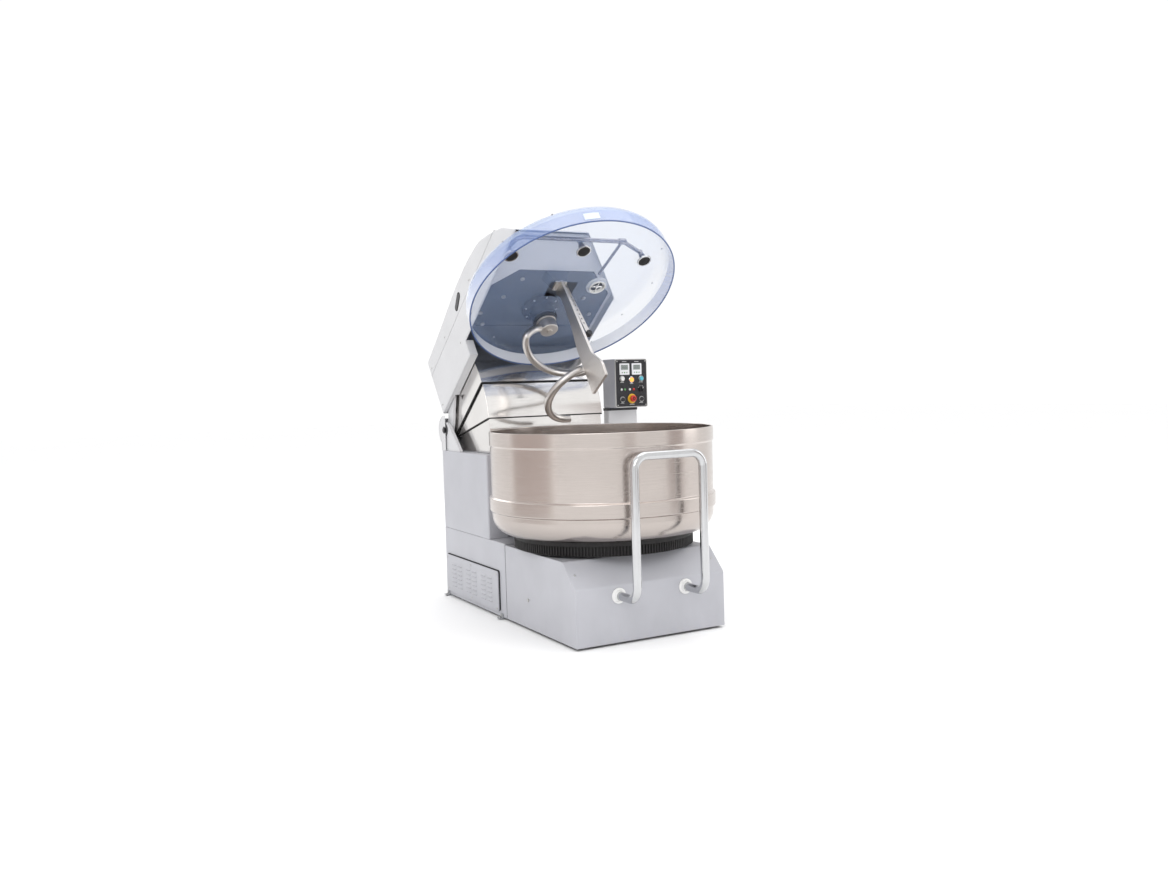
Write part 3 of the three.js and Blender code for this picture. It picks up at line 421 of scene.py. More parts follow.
def block(x0, x1, y0, y1, low, high, reach=0.0, edge=0.0):
    """An upright block, to be cut away or joined on."""
    return prism("t", rectangle(x0, x1, y0, y1, reach), "z", low, high, edge, 2)


def band(name, outer, inner, axis, low, high):
    """A ring-shaped prism between two outlines with the same number of points."""
    bm = bmesh.new()
    place = PLACE[axis]
    loops = [[bm.verts.new(place(p[0], p[1], w)) for p in ps]
             for ps, w in ((outer, low), (outer, high), (inner, high), (inner, low))]
    skin(bm, loops + loops[:1])
    return made(name, bm)


def spun(bm, profile, origin, axis, sides):
    """Adds a body of revolution: profile holds (radius, height along the axis)."""
    axis = Vector(axis).normalized()
    side = (Vector((1, 0, 0)) if abs(axis.x) < 0.9 else Vector((0, 1, 0))).cross(axis).normalized()
    other = axis.cross(side)
    rings = []
    for radius, height in profile:
        middle = Vector(origin) + axis * height
        if radius < 1e-6:
            rings.append([bm.verts.new(middle)])
            continue
        rings.append([bm.verts.new(middle + radius * (side * math.cos(a) + other * math.sin(a)))
                      for a in angles(sides)])
    if tuple(profile[0]) == tuple(profile[-1]):
        for vert in rings[-1]:
            bm.verts.remove(vert)
        rings[-1] = rings[0]
    for a, b in zip(rings, rings[1:]):
        for i in range(sides):
            j = (i + 1) % sides
            face = list(dict.fromkeys((a[i % len(a)], a[j % len(a)], b[j % len(b)], b[i % len(b)])))
            if len(face) > 2:
                bm.faces.new(face)


def lathe(name, profile, origin=(0, 0, 0), axis=(0, 0, 1), sides=64, closed=False):
    """A body of revolution, or a ring where the profile is closed."""
    bm = bmesh.new()
    profile = [tuple(p[:2]) for p in profile]
    spun(bm, profile + profile[:1] if closed else profile, origin, axis, sides)
    return made(name, bm)


def rod(radius, start, end, sides=48, edge=1.0):
    """A round bar with broken edges, to be cut away or joined on."""
    start, end = Vector(start), Vector(end)
    length = (end - start).length
    profile = fillet([(0, 0), (radius, 0, edge), (radius, length, edge), (0, length)], 3, False)
    return lathe("t", profile, start, end - start, sides)


def bolts(name, places, radius, height, sides=20):
    """Cap screws, or hexagon heads with a washer where sides is 6."""
    bm = bmesh.new()
    for origin, axis in places:
        if sides == 6:
            washer = height * 0.2
            spun(bm, [(0, 0), (radius * 1.35, 0), (radius * 1.35, washer), (0, washer)], origin, axis, 24)
            head = [(0, washer), (radius, washer), (radius, height * 0.85), (radius * 0.86, height),
                    (0, height)]
        else:
            head = [(0, 0), (radius, 0), (radius, height * 0.45), (radius * 0.9, height * 0.75),
                    (radius * 0.7, height * 0.93), (radius * 0.48, height), (radius * 0.44, height * 0.96),
                    (radius * 0.42, height * 0.45), (0, height * 0.4)]
        spun(bm, head, origin, axis, sides)
    return made(name, bm)


def through(points, per=8):
    """A smooth centripetal line through the points."""
    points = [Vector(p) for p in points]
    padded = [2 * points[0] - points[1], *points, 2 * points[-1] - points[-2]]
    out = []
    for a, b, c, d in zip(padded, padded[1:], padded[2:], padded[3:]):
        t0, t1, t2 = (max((q - p).length ** 0.5, 1e-4) for p, q in ((a, b), (b, c), (c, d)))
        m1 = ((b - a) / t0 - (c - a) / (t0 + t1) + (c - b) / t1) * t1
        m2 = ((c - b) / t1 - (d - b) / (t1 + t2) + (d - c) / t2) * t1
        for k in range(per):
            t = k / per
            out.append((2 * t**3 - 3 * t**2 + 1) * b + (t**3 - 2 * t**2 + t) * m1
                       + (3 * t**2 - 2 * t**3) * c + (t**3 - t**2) * m2)
    return out + [points[-1]]


def bends(points, steps=8):
    """A 3-D polyline with its corners rounded: points are (x, y, z) or (x, y, z, reach)."""
    out = []
    for i, point in enumerate(points):
        here = Vector(point[:3])
        if len(point) < 4 or i in (0, len(points) - 1):
            out.append(here)
            continue
        back = (Vector(points[i - 1][:3]) - here).normalized() * point[3]
        on = (Vector(points[i + 1][:3]) - here).normalized() * point[3]
        half = back.angle(on) / 2
        middle = here + (back + on).normalized() * (point[3] / math.cos(half))
        first, last = here + back - middle, here + on - middle
        turn = first.angle(last)
        for k in range(steps + 1):
            share = turn * k / steps
            out.append(middle + (first * math.sin(turn - share) + last * math.sin(share)) / math.sin(turn))
    return out


def tube(name, path, radius, sides=24, round_ends=False):
    path = [Vector(p) for p in path]
    last = len(path) - 1
    heading = [(path[min(i + 1, last)] - path[max(i - 1, 0)]).normalized() for i in range(last + 1)]
    stations = [(p, h, radius) for p, h in zip(path, heading)]
    if round_ends:
        cap = [(math.cos(a), math.sin(a)) for a in (math.radians(d) for d in (1, 15, 30, 45, 60, 75))]
        stations = ([(path[0] - heading[0] * radius * c, heading[0], radius * s) for c, s in cap] + stations
                    + [(path[-1] + heading[-1] * radius * c, heading[-1], radius * s) for c, s in cap[::-1]])
    bm = bmesh.new()
    normal = heading[0].orthogonal().normalized()
    rings = []
    for point, along, size in stations:
        normal = (normal - along * normal.dot(along)).normalized()
        other = along.cross(normal)
        rings.append([bm.verts.new(point + size * (normal * math.cos(a) + other * math.sin(a)))
                      for a in angles(sides)])
    skin(bm, rings)
    bm.faces.new(rings[0])
    bm.faces.new(rings[-1])
    return made(name, bm)


def softened(node, name, width):
    """A copy of a CAD node with its flat faces merged and its sharp edges rounded."""
    bm = bmesh.new()
    bm.from_mesh(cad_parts[node].data)
    bmesh.ops.remove_doubles(bm, verts=bm.verts, dist=2e-5)
    bmesh.ops.dissolve_limit(bm, angle_limit=math.radians(0.5), verts=bm.verts, edges=bm.edges)
    obj = made(name, bm)
    soft = obj.modifiers.new("soft", "BEVEL")
    soft.width = width / 1000
    soft.segments = 2
    soft.limit_method = "ANGLE"
    soft.angle_limit = math.radians(28)
    return applied(obj)


def to_row(body):
    """From the design's frame to the row's, for what rides on a body."""
    return TO_ROW @ TIPPED.get(body, Matrix.Identity(4))


def piece(obj, body, slot, *nodes, look=None, in_row=False, smooth=32):
    """Puts a finished shape in place, on its body, with its finish."""
    if not in_row:
        obj.data.transform(to_row(body))
    obj.data.materials.clear()
    obj.data.materials.append(look or MATS[slot])
    for polygon in obj.data.polygons:
        polygon.material_index = 0
        polygon.use_smooth = True
    obj.data.set_sharp_from_angle(angle=math.radians(smooth))
    flat = obj.modifiers.new("flat", "WEIGHTED_NORMAL")
    flat.keep_sharp = True
    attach(obj, body)
    if nodes:
        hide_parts(*nodes)
    return obj


def second_look(obj, body, look, chosen):
    """Gives another finish to the faces whose middle, in the design's frame, is chosen."""
    obj.data.materials.append(look)
    back = to_row(body).inverted()
    for polygon in obj.data.polygons:
        if chosen(back @ polygon.center):
            polygon.material_index = 1


def soft_piece(node, name, body, slot, width):
    return piece(softened(node, name, width), body, slot, node, in_row=True)


def ring_of(count, radius, x, y, z, axis):
    """Places for fasteners on a level circle."""
    return [((x + radius * math.cos(a), y + radius * math.sin(a), z), axis) for a in angles(count)]


def screws(name, places, radius, height, body="base", sides=20, look=BOLT, slot="frame_steel"):
    piece(bolts(name, places, radius, height, sides), body, slot, look=look, smooth=20 if sides == 6 else 32)


def gap_shadow_strip(obj, body="base"):
    """A dark strip in a gap between covers: a painted shadow where the gap's shade falls."""
    piece(obj, body, "belt_rubber", look=DARK)


def span(sign, near, far):
    return (near, far) if sign > 0 else (-far, -near)


# ---------------------------------------------------------------- camera and light
def aim(obj, place, target):
    obj.location = place
    obj.rotation_euler = (Vector(target) - Vector(place)).to_track_quat("-Z", "Y").to_euler()


def camera():
    """The photograph's viewpoint, fitted to the bowl's rims, the trolley's box and the column."""
    yaw, pitch, roll = 0.500, -0.054, -0.029
    forward = Vector((math.sin(yaw) * math.cos(pitch), math.cos(yaw) * math.cos(pitch), math.sin(pitch)))
    right = Vector((math.cos(yaw), -math.sin(yaw), 0))
    up = right.cross(forward)
    across = math.cos(roll) * right + math.sin(roll) * up
    above = -math.sin(roll) * right + math.cos(roll) * up
    data = bpy.data.cameras.new("camera")
    data.lens = 31.88
    data.sensor_width = 36
    data.clip_end = 100
    obj = bpy.data.objects.new("camera", data)
    bpy.context.scene.collection.objects.link(obj)
    turn = Matrix((across, above, -forward)).transposed().to_4x4()
    obj.matrix_world = Matrix.Translation((-2.5527, -4.7746, 1.1830)) @ turn
    bpy.context.scene.camera = obj


def soft_light(name, place, target, size, power):
    data = bpy.data.lights.new(name, "AREA")
    data.shape = "RECTANGLE"
    data.size, data.size_y = size
    data.energy = power
    obj = bpy.data.objects.new(name, data)
    bpy.context.scene.collection.objects.link(obj)
    aim(obj, place, target)


def flat_sheet(name, segments, size, look):
    bm = bmesh.new()
    bmesh.ops.create_grid(bm, x_segments=segments, y_segments=segments, size=size)
    obj = made(name, bm)
    obj.data.materials.append(look.mat)
    return obj


def card(name, place, target, size, shade):
    """A grey card outside the view, fading at its sides: it gives the polished metal a reflection."""
    look = Look(name + "_look")
    look.set(Roughness=0.9, Specular_IOR_Level=0.0)
    across = look.coordinate("X")
    beside = look.node("Math", operation="ABSOLUTE")
    look.link(across, beside.inputs[0])
    fade = look.node("MapRange", interpolation_type="SMOOTHSTEP")
    fade.inputs["From Min"].default_value = 0.3
    fade.inputs["From Max"].default_value = 0.5
    look.link(beside.outputs[0], fade.inputs["Value"])
    look.drive(Base_Color=look.mix(fade.outputs["Result"], shade, (0.97, 0.97, 0.97)))
    obj = flat_sheet(name, 1, 0.5, look)
    obj.scale = (*size, 1)
    aim(obj, place, target)
    obj.visible_camera = False
    obj.visible_diffuse = False
    obj.visible_shadow = False


def studio():
    world = bpy.data.worlds.new("studio")
    world.use_nodes = True
    background = world.node_tree.nodes["Background"]
    background.inputs["Color"].default_value = (1, 1, 1, 1)
    background.inputs["Strength"].default_value = 1.05
    bpy.context.scene.world = world
    bpy.context.scene.view_settings.view_transform = "Standard"
    look = Look("floor_paper")
    look.set(Roughness=0.85, Specular_IOR_Level=0.1)
    look.drive(Base_Color=look.mix(look.spread(look.noise(1.5), 0, 1), (0.955, 0.955, 0.955),
                                   (0.95, 0.95, 0.952)))
    floor = flat_sheet("floor", 8, 30, look)
    soft_light("key", (-3.6, -4.2, 4.2), (0, -0.2, 0.8), (3.2, 3.2), 80)
    soft_light("top", (0.6, -0.6, 5.2), (0, 0, 0.5), (4.0, 4.0), 58)
    soft_light("fill", (4.5, -2.2, 2.4), (0, 0, 0.8), (2.0, 3.4), 30)
    soft_light("back", (0.5, 5.0, 3.2), (0, 0, 1.0), (3.4, 2.4), 40)
    card("card_left", (-4.2, 0.6, 1.6), (0, 0, 1.0), (5.0, 4.4), (0.56, 0.50, 0.48))
    card("card_right", (3.4, -3.6, 1.6), (0, -0.3, 0.9), (2.2, 3.6), (0.46, 0.42, 0.41))
    card("card_front", (-0.4, -6.6, 1.0), (0, 0, 0.9), (1.6, 3.2), (0.60, 0.57, 0.56))


# ---------------------------------------------------------------- body
def lower_body():
    """The low cover, open below, with openings for the column, the bowl's drive and the vents."""
    plan = rectangle(-BODY_W, BODY_W, SEAM_Y, BODY_REAR_Y, 6)
    shell = prism("lower_body_cover", plan, "z", BODY_LOW, BLOCK_TOP, 4, 4, "high",
                  lambda c, n: n.z < -0.9 and c.z < BODY_LOW + 8, SHEET)
    top = (BLOCK_TOP - 22, BLOCK_TOP + 18)
    tools = [block(-350, 350, 620, 1050, *top), block(-399, 399, 1045, 1078, *top),
             rod(24, (0, PINION_Y, top[0]), (0, PINION_Y, top[1]))]
    for _, sign in SIDES:
        tools.append(block(*span(sign, 340, 399), 862, 1050, *top))
        tools.append(prism("t", rectangle(420, 1040, 75, 215), "x", *span(sign, 390, 412)))
    piece(carve(shell, *tools), "base", "body_paint", "lower_body_shell")


def column_outline(inset):
    """The column's plan: its front is hollowed round the bowl."""
    recess = 575 + inset
    front = 493 + inset
    rear = BODY_REAR_Y - inset
    half = math.degrees(math.acos(front / recess))
    w = BODY_W - inset
    reach = 9 - inset
    hollow = arc(0, 0, recess, 90 + half, 90 - half, 72)
    return fillet([(w, front, reach), (w, rear, reach), (-w, rear, reach), (-w, front, reach), *hollow], 6)


def column():
    low, high = BLOCK_TOP + 1.2, COLUMN_TOP
    shell = prism("column_cover", column_outline(0), "z", low, high,
                  is_open=lambda c, n: abs(n.z) > 0.9, wall=SHEET)
    piece(shell, "base", "body_paint", "column_shell")
    plate = prism("column_cap", column_outline(4.4), "z", high - 6, high - 1, 1, 2)
    cut = (high - 30, high + 10)
    tools = [block(-330, 330, 640, 1048, *cut),
             *[block(*span(sign, 376, 410), 862, 1076, *cut) for _, sign in SIDES]]
    piece(carve(plate, *tools), "base", "body_paint", "column_top_plate")
    # painted shadow: a black strip in the gap between the lower body and the column
    seam_shadow = prism("column_seam_strip", rectangle(-BODY_W + 2, BODY_W - 2, 580, BODY_REAR_Y - 2, 8), "z",
                   BLOCK_TOP - 1, BLOCK_TOP + 2)
    inside = block(-BODY_W + 6, BODY_W - 6, 570, BODY_REAR_Y - 6, BLOCK_TOP - 12, BLOCK_TOP + 8)
    gap_shadow_strip(carve(seam_shadow, inside))


def louvre(bm, sign, x, y, z, length, height, depth):
    """A pressed scoop in the side panel, open along its lower edge."""
    across, up = 12, 6
    shares = [2 * i / across - 1 for i in range(across + 1)]
    rows = []
    for k in range(up + 1):
        v = k / up
        bulge = [depth * math.sqrt(max(0.0, 1 - u**4)) * math.cos(v * math.pi / 2) for u in shares]
        rows.append([bm.verts.new((x + sign * out, y + u * length / 2, z + v * height))
                     for u, out in zip(shares, bulge)])
    for a, b in zip(rows, rows[1:]):
        for i in range(across):
            bm.faces.new((a[i], a[i + 1], b[i + 1], b[i]))
    base = [bm.verts.new((x - sign * 0.5, y + u * length / 2, z)) for u in shares]
    for i in range(across):
        bm.faces.new((rows[0][i], base[i], base[i + 1], rows[0][i + 1]))


def vents():
    face = BODY_W + 11
    for side, sign in SIDES:
        plan = rectangle(375, 1085, 35, 242, 14)
        panel = prism("vent_panel_" + side, plan, "x", *span(sign, BODY_W + 4.5, face), 1.6, 3)
        piece(panel, "base", "body_paint", "side_vent_" + side)
        # painted shadow: a black sheet behind the vent panel makes the gap round it read dark
        back = prism("vent_gap_shadow_" + side, rectangle(369, 1084, 38, 247, 14), "x",
                     *span(sign, BODY_W + 0.4, BODY_W + 4.6))
        gap_shadow_strip(back)
        bm = bmesh.new()
        slits = []
        for z in range(74, 74 + 6 * 24, 24):
            for y in (478, 562, 683, 767, 888, 972):
                louvre(bm, sign, sign * face, y, z, 68, 11, 4.6)
                slits.append(prism("t", rectangle(y - 28, y + 28, z - 1.6, z + 1.2, 1), "x",
                                   *span(sign, face - 0.5, face + 2.6)))
        piece(made("vent_louvres_" + side, bm), "base", "body_paint", smooth=50)
        # painted shade: black strips behind the louvres' openings stand for the dark inside
        piece(merged("vent_slits_" + side, *slits), "base", "black_plastic", look=DARK)
        places = [((sign * face, y, z), (sign, 0, 0)) for y in (392, 730, 1068) for z in (50, 227)]
        screws("vent_screws_" + side, places, 5.5, 3.4)


def rear_panels():
    y, half, inset = BODY_REAR_Y, 330, 18
    for name, z0, z1 in (("rear_cover_upper", 432, 792), ("rear_cover_lower", 62, 352)):
        cover = prism(name, rectangle(-half, half, z0, z1, 12), "y", y + 0.3, y + 3, 1, 2)
        piece(cover, "base", "body_paint")
        places = [((x, y + 3, z), (0, 1, 0)) for x in (inset - half, 0, half - inset)
                  for z in (z0 + inset, z1 - inset)]
        screws(name + "_screws", places, 5.5, 3.4)
    # painted shade: the slots are black sheets standing for the dark inside the openings
    slits = [prism("t", rectangle(x - 46, x + 46, z, z + 6, 2.9), "y", y + 2.2, y + 3.3)
             for z in range(92, 92 + 9 * 26, 26) for x in (-180, -60, 60, 180)]
    piece(merged("rear_cover_slots", *slits), "base", "black_plastic", look=DARK)


def feet():
    pad = fillet([(0, 0), (36, 0, 2), (36, 6, 2), (21, 10.5, 3), (19, 13, 1), (0, 13)], 3, False)
    angle_iron = [(0.4, 6), (26, 6, 2), (26, 10, 2), (5, 10, 4), (5, 30, 2), (0.4, 30)]
    for i, (x, y) in enumerate(((-368, 385), (368, 385), (-368, 1080), (368, 1080)), 1):
        bm = bmesh.new()
        spun(bm, pad, (x, y, 0), (0, 0, 1), 48)
        spun(bm, [(0, 12), (9, 12), (9, 16), (0, 16)], (x, y, 0), (0, 0, 1), 24)
        piece(made(f"foot_pad_{i}", bm), "base", "frame_steel", f"levelling_foot_{i}")
        sign = 1 if x > 0 else -1
        outline = [(sign * (BODY_W + p[0]), *p[1:]) for p in angle_iron[::sign]]
        middle = 352 if y < 700 else 1092
        bracket = prism(f"anchor_bracket_{i}", fillet(outline, 4), "y", middle - 14, middle + 14, 0.8, 2)
        piece(bracket, "base", "frame_steel")
        places = [((sign * (BODY_W + 16), middle, 10), (0, 0, 1)),
                  ((sign * (BODY_W + 5), middle, 21), (sign, 0, 0))]
        screws(f"anchor_bolts_{i}", places, 5, 5, sides=6)


def hinge_parts():
    """The hinge bolts, and the rolled cover behind them with a foot on the column and a cheek at each end."""
    y, z = HINGE
    bolt = fillet([(0, 0), (25, 0, 2), (25, 65, 1), (34, 65.5, 1), (34, 71, 2.5), (26, 71, 1),
                   (24, 69.5, 1), (0, 69.5)], 3, False)
    for side, sign in SIDES:
        pin = lathe("hinge_bolt_" + side, bolt, (sign * 333, y, z), (sign, 0, 0), 56)
        piece(pin, "base", "frame_steel", "hinge_pin_" + side, look=BLACK_BOLT)
        screws("hinge_nut_" + side, [((sign * 406.6, y, z), (sign, 0, 0))], 15, 7, sides=6, look=BLACK_BOLT)
    outer, half, foot = 82, 407, COLUMN_TOP + 0.5
    roll = [*arc(y, z, outer, -60, 52, 48), *arc(y, z, outer - SHEET, 52, -60, 48)]
    cheek = [(y - 14, foot), (y + 42, foot), *arc(y, z, outer, -59, 100, 48)]
    parts = [prism("t", roll, "x", -half, half, 0.8, 2),
             prism("t", rectangle(y + 38, y + 42, foot, z - 69), "x", -half, half, 0.8, 2),
             *[prism("t", cheek, "x", *span(sign, BODY_W + 0.5, half), 0.8, 2) for _, sign in SIDES]]
    piece(merged("hinge_roll_cover", *parts), "base", "head_paint", "rear_round_cover")
    rail = prism("hinge_cover_screw_rail", rectangle(y + 42.2, y + 45, COLUMN_TOP + 4, COLUMN_TOP + 28, 3),
                 "x", -390, 390, 0.8, 2)
    piece(rail, "base", "frame_steel", look=BOLT)


# ---------------------------------------------------------------- mirror-steel drums round the hinge
def on_circle(a, b, radius):
    """Where the line from a to b crosses the circle about the hinge, nearest to a."""
    a, b, c = Vector(a[:2]), Vector(b[:2]), Vector(HINGE)
    d = b - a
    f = a - c
    root = math.sqrt((f.dot(d)) ** 2 - d.length_squared * (f.length_squared - radius**2))
    return a + d * ((-f.dot(d) - root) / d.length_squared)


def drum(name, half, radius, side):
    """Part of a drum about the hinge with closed sides, and the lower corner of its front.

    The side's first and last edges run out to the front.
    """
    low = on_circle(side[0], side[1], radius)
    high = on_circle(side[-1], side[-2], radius)
    y, z = HINGE
    start = math.degrees(math.atan2(high.y - z, high.x - y)) % 360
    end = math.degrees(math.atan2(low.y - z, low.x - y)) % 360
    front = arc(y, z, radius, start, end, 56)
    outline = [Vector(p) for p in front] + fillet([low, *side[1:-1], high], 6, closed=False)[1:-1]

    def is_open(c, n):
        return abs(n.x) < 0.5 and math.hypot(c.y - y, c.z - z) < radius - 6

    return prism(name, outline, "x", -half, half, 2.6, 4, "both", is_open, 3), low, high


def edge_strip(name, half, edge, hub, radius):
    """A rubber bead along a drum's edge: from the hub on one side, across the front, and back."""
    x = half - 1
    path = bends([(-x, *hub), (-x, edge.x + 1, edge.y, 7), (x, edge.x + 1, edge.y, 7), (x, *hub)], 6)
    return tube(name, path, radius, 12, True)


def drums():
    """The fixed shield, the visor that swings half way, and the shroud that moves with the head."""
    hub_side = [(1074, 900), (1119, 915, 30), (1119, 991, 30)]
    hub_end = (1066, 899.5)
    foot = COLUMN_TOP + 0.4
    shell, _, high = drum("guard_fixed", 338, 488, [(540, foot), (1060, foot), (1060, 898, 10), (540, 1048)])
    piece(shell, "base", "shield_steel", "fixed_shield")
    piece(edge_strip("guard_fixed_strip", 338, high, (1030, 907), 3.4), "base", "belt_rubber")
    y, z = HINGE
    visor_side = [(530, 889), *hub_side, (1030, 1000, 20), (530, 1120)]
    shroud_side = [(530, 900), *hub_side, (1040, 1000, 15), (1020, 1028), (1020, 1210), (530, 1210)]
    for name, half, radius, side, bead, body, node in (
            ("guard_visor", 345, 495, visor_side, 3, "visor", "visor"),
            ("guard_shroud", 352, 502, shroud_side, 3.6, "head", "head_shroud")):
        shell, low, _ = drum(name, half, radius, side)
        pin_hole = rod(26.3, (-420, y, z), (420, y, z))
        piece(carve(shell, pin_hole), body, "shield_steel", node)
        strip = edge_strip(name + "_strip", half + 0.5, low, hub_end, bead)
        piece(strip, body, "belt_rubber")


# ---------------------------------------------------------------- control panel
def facing(name, profile, x, z, sides=40, closed=False):
    """A turned part on the panel's face: heights are measured outwards from the face."""
    return lathe(name, profile, (x, FACE_Y, z), (0, -1, 0), sides, closed)


def on_face(u0, u1, v0, v1, front=0.7, back=0.0):
    """A thin plate on the panel's face."""
    return prism("t", rectangle(u0, u1, v0, v1), "y", FACE_Y - front, FACE_Y - back)


def panel():
    x0, x1, y, z0, z1 = (PANEL[k] for k in ("x0", "x1", "y", "z0", "z1"))
    depth = 136
    side = fillet([(y, z0, 8), (y + depth, z0, 8), (y + depth, z1, 8), (y, z1, 8)], 5)
    piece(prism("panel_box", side, "x", x0, x1, 5, 4), "base", "body_paint", "control_box")
    outer = rectangle(x0 + 1, x1 - 1, z0 + 2, z1 - 2, 9)
    inner = rectangle(x0 + 5, x1 - 5, z0 + 6, z1 - 6, 8)
    piece(band("panel_trim", outer, inner, "y", y - 4.5, y + 0.5), "base", "chromed_tube", look=BOLT)
    face = prism("panel_face", inner, "y", y - 6, y - 0.2, 0.8, 2)
    stems = [(PANEL_X + u, v) for _, u, v, _ in BUTTONS] + [(PANEL_X, STOP_Z)]
    face = carve(face, *[rod(9.8, (u, y - 9, v), (u, y + 2, v), 40) for u, v in stems])
    piece(face, "base", "black_plastic", "control_fascia")

    post = prism("panel_post", rectangle(x0, x1 - 20, 640, 696, 6), "z", 520, z0 - 0.2, 2, 2)
    piece(post, "base", "head_paint", "control_post")
    flange = prism("panel_post_flange", rectangle(600, 740, 500, 780, 14), "x", BODY_W + 0.4, x0 + 4, 1.5, 3)
    piece(flange, "base", "body_paint")
    collar = prism("panel_post_collar", rectangle(x0 - 3, x1 - 17, 637, 699, 7), "z", z0 - 16, z0 - 1, 2, 2)
    piece(collar, "base", "black_plastic")
    places = [((x0 + 4, v, w), (1, 0, 0)) for v in (616, 724) for w in (520, 640, 760)]
    screws("panel_flange_bolts", places, 7, 6, sides=6)
    displays()
    controls()
    panel_marks()
    stop_parts()
    places = [((u, y - 6, v), (0, -1, 0)) for u in (x0 + 13, x1 - 13) for v in (z0 + 14, z1 - 14)]
    screws("panel_screws", places, 3.6, 2.2)


def displays():
    zero = ((-4, 4, 1279, 1280.4), (-4, 4, 1269.4, 1270.8), (-4, 4, 1260, 1261.4),
            (-4.6, -3.2, 1261, 1279.6), (3.2, 4.6, 1261, 1279.6))
    for name, x in (("display_left", PANEL_X - 45), ("display_right", PANEL_X + 35)):
        plate = prism(name + "_bezel", rectangle(x - 32, x + 32, 1228, 1292, 4), "y", FACE_Y - 3,
                      FACE_Y - 0.2, 0.8, 2)
        piece(plate, "base", "display_white", name)
        window = prism(name + "_window", rectangle(x - 23, x + 23, 1256, 1284, 2), "y", FACE_Y - 3.5,
                       FACE_Y - 2.8)
        piece(window, "base", "display_white", look=SCREEN)
        digits = [on_face(x + 13 * k + u0, x + 13 * k + u1, v0, v1, 3.8, 3.4)
                  for k in (-1, 0, 1) for u0, u1, v0, v1 in zero]
        piece(merged(name + "_digits", *digits), "base", "black_plastic")
        dot = fillet([(0, 2.6), (4, 2.6), (4, 4, 0.8), (0, 4.2)], 2, False)
        for k, look in enumerate((SCREEN, GREEN, SCREEN), 1):
            lamp = facing(f"{name}_dot_{k}", dot, x + 15 * (k - 2), 1241, 20)
            piece(lamp, "base", "display_white", look=look)


def controls():
    dome = [(13 * math.cos(a), 3 + 6 * math.sin(a)) for a in (math.radians(d) for d in range(15, 76, 15))]
    lens = [(0, 0.4), (13, 0.4), (13, 3), *dome, (0, 9)]
    piece(facing("lamp_lens", lens, PANEL_X, 1200), "base", "amber_lens", "indicator_lamp")
    collar = [(13.4, 0), (18, 0), (18, 3), (15.5, 5), (13.4, 5)]
    piece(facing("lamp_collar", collar, PANEL_X, 1200, closed=True), "base", "chromed_tube")

    cap = fillet([(0, 0.5), (9, 0.5), (9, 5), (12, 5, 1), (12, 12, 2.5), (0, 11.2)], 4, False)
    ring = [(12.6, 0), (16.5, 0), (16.5, 4), (14.5, 6.5), (12.6, 6.5)]
    for name, x, z, slot in BUTTONS:
        piece(facing(name + "_cap", cap, PANEL_X + x, z), name, slot, name)
        piece(facing(name + "_ring", ring, PANEL_X + x, z, closed=True), "base", "chromed_tube", look=BOLT)

    x, z = SELECTOR
    knob = fillet([(0, 0.4), (14, 0.4), (14, 13, 2), (12, 14, 0.5), (0, 14)], 4, False)
    grip = prism("t", rectangle(x - 3, x + 3, z - 13, z + 13, 2.8), "y", FACE_Y - 22, FACE_Y - 13, 1, 2)
    piece(merged("selector_knob", facing("t", knob, x, z), grip), "speed_selector", "black_plastic",
          "speed_selector")
    mark = prism("selector_pointer", rectangle(x - 1, x + 1, z + 3, z + 12.5), "y", FACE_Y - 22.5,
                 FACE_Y - 21.8)
    piece(mark, "speed_selector", "white_plastic")


def panel_marks():
    """Plain bars and ticks where the real panel has its lettering, and the status lights."""
    marks = []
    for degrees in (30, 60, 90, 120, 150):
        a = math.radians(degrees)
        across = Vector((math.cos(a), math.sin(a)))
        beside = Vector((-across.y, across.x)) * 0.9
        near, far = (Vector(SELECTOR) + across * r for r in (18, 22))
        marks.append(prism("t", [near - beside, far - beside, far + beside, near + beside], "y",
                           FACE_Y - 0.7, FACE_Y))
    for x, z, w in ((-62, 1186, 12), (62, 1186, 12), (0, 1178, 10), (-62, 1070, 12), (62, 1070, 12),
                    (0, 1062, 16), (-45, 1302, 14), (35, 1302, 14)):
        marks.append(on_face(PANEL_X + x - w, PANEL_X + x + w, z - 1, z + 1))
    piece(merged("panel_marks", *marks), "base", "white_plastic")
    led = [(0, 0), (6.5, 0), (6.5, 1.4), (4.6, 1.6), (4.2, 2.8), (2.4, 3.6), (0, 3.9)]
    for i, (x, look) in enumerate(((-66, MATS["white_plastic"]), (-44, GREEN), (-12, MATS["white_plastic"]),
                                   (14, MATS["red_plastic"])), 1):
        piece(facing(f"status_light_{i}", led, PANEL_X + x, SELECTOR[1], 24), "base", None, look=look)


def stop_parts():
    """The emergency stop's mushroom with its ring-shaped mark, and the yellow collar round it."""
    mushroom = fillet([(0, 1), (9, 1), (9, 14, 1), (19, 14, 1.5), (19, 20, 3), (14, 25.4, 5), (0, 26.4)],
                      5, False)
    piece(facing("stop_mushroom", mushroom, PANEL_X, STOP_Z, 48), "emergency_stop", "red_plastic",
          "emergency_stop")
    mark = [(5, 26.2), (9, 26.0), (9, 26.9), (5, 27.1)]
    mark = facing("stop_mushroom_mark", mark, PANEL_X, STOP_Z, 36, True)
    piece(mark, "emergency_stop", "black_plastic", look=DARK)
    ring = [(9.8, 0), (27, 0), (27, 2.4), (25, 4), (9.8, 4)]
    piece(facing("stop_collar", ring, PANEL_X, STOP_Z, 48, True), "base", None, look=YELLOW)


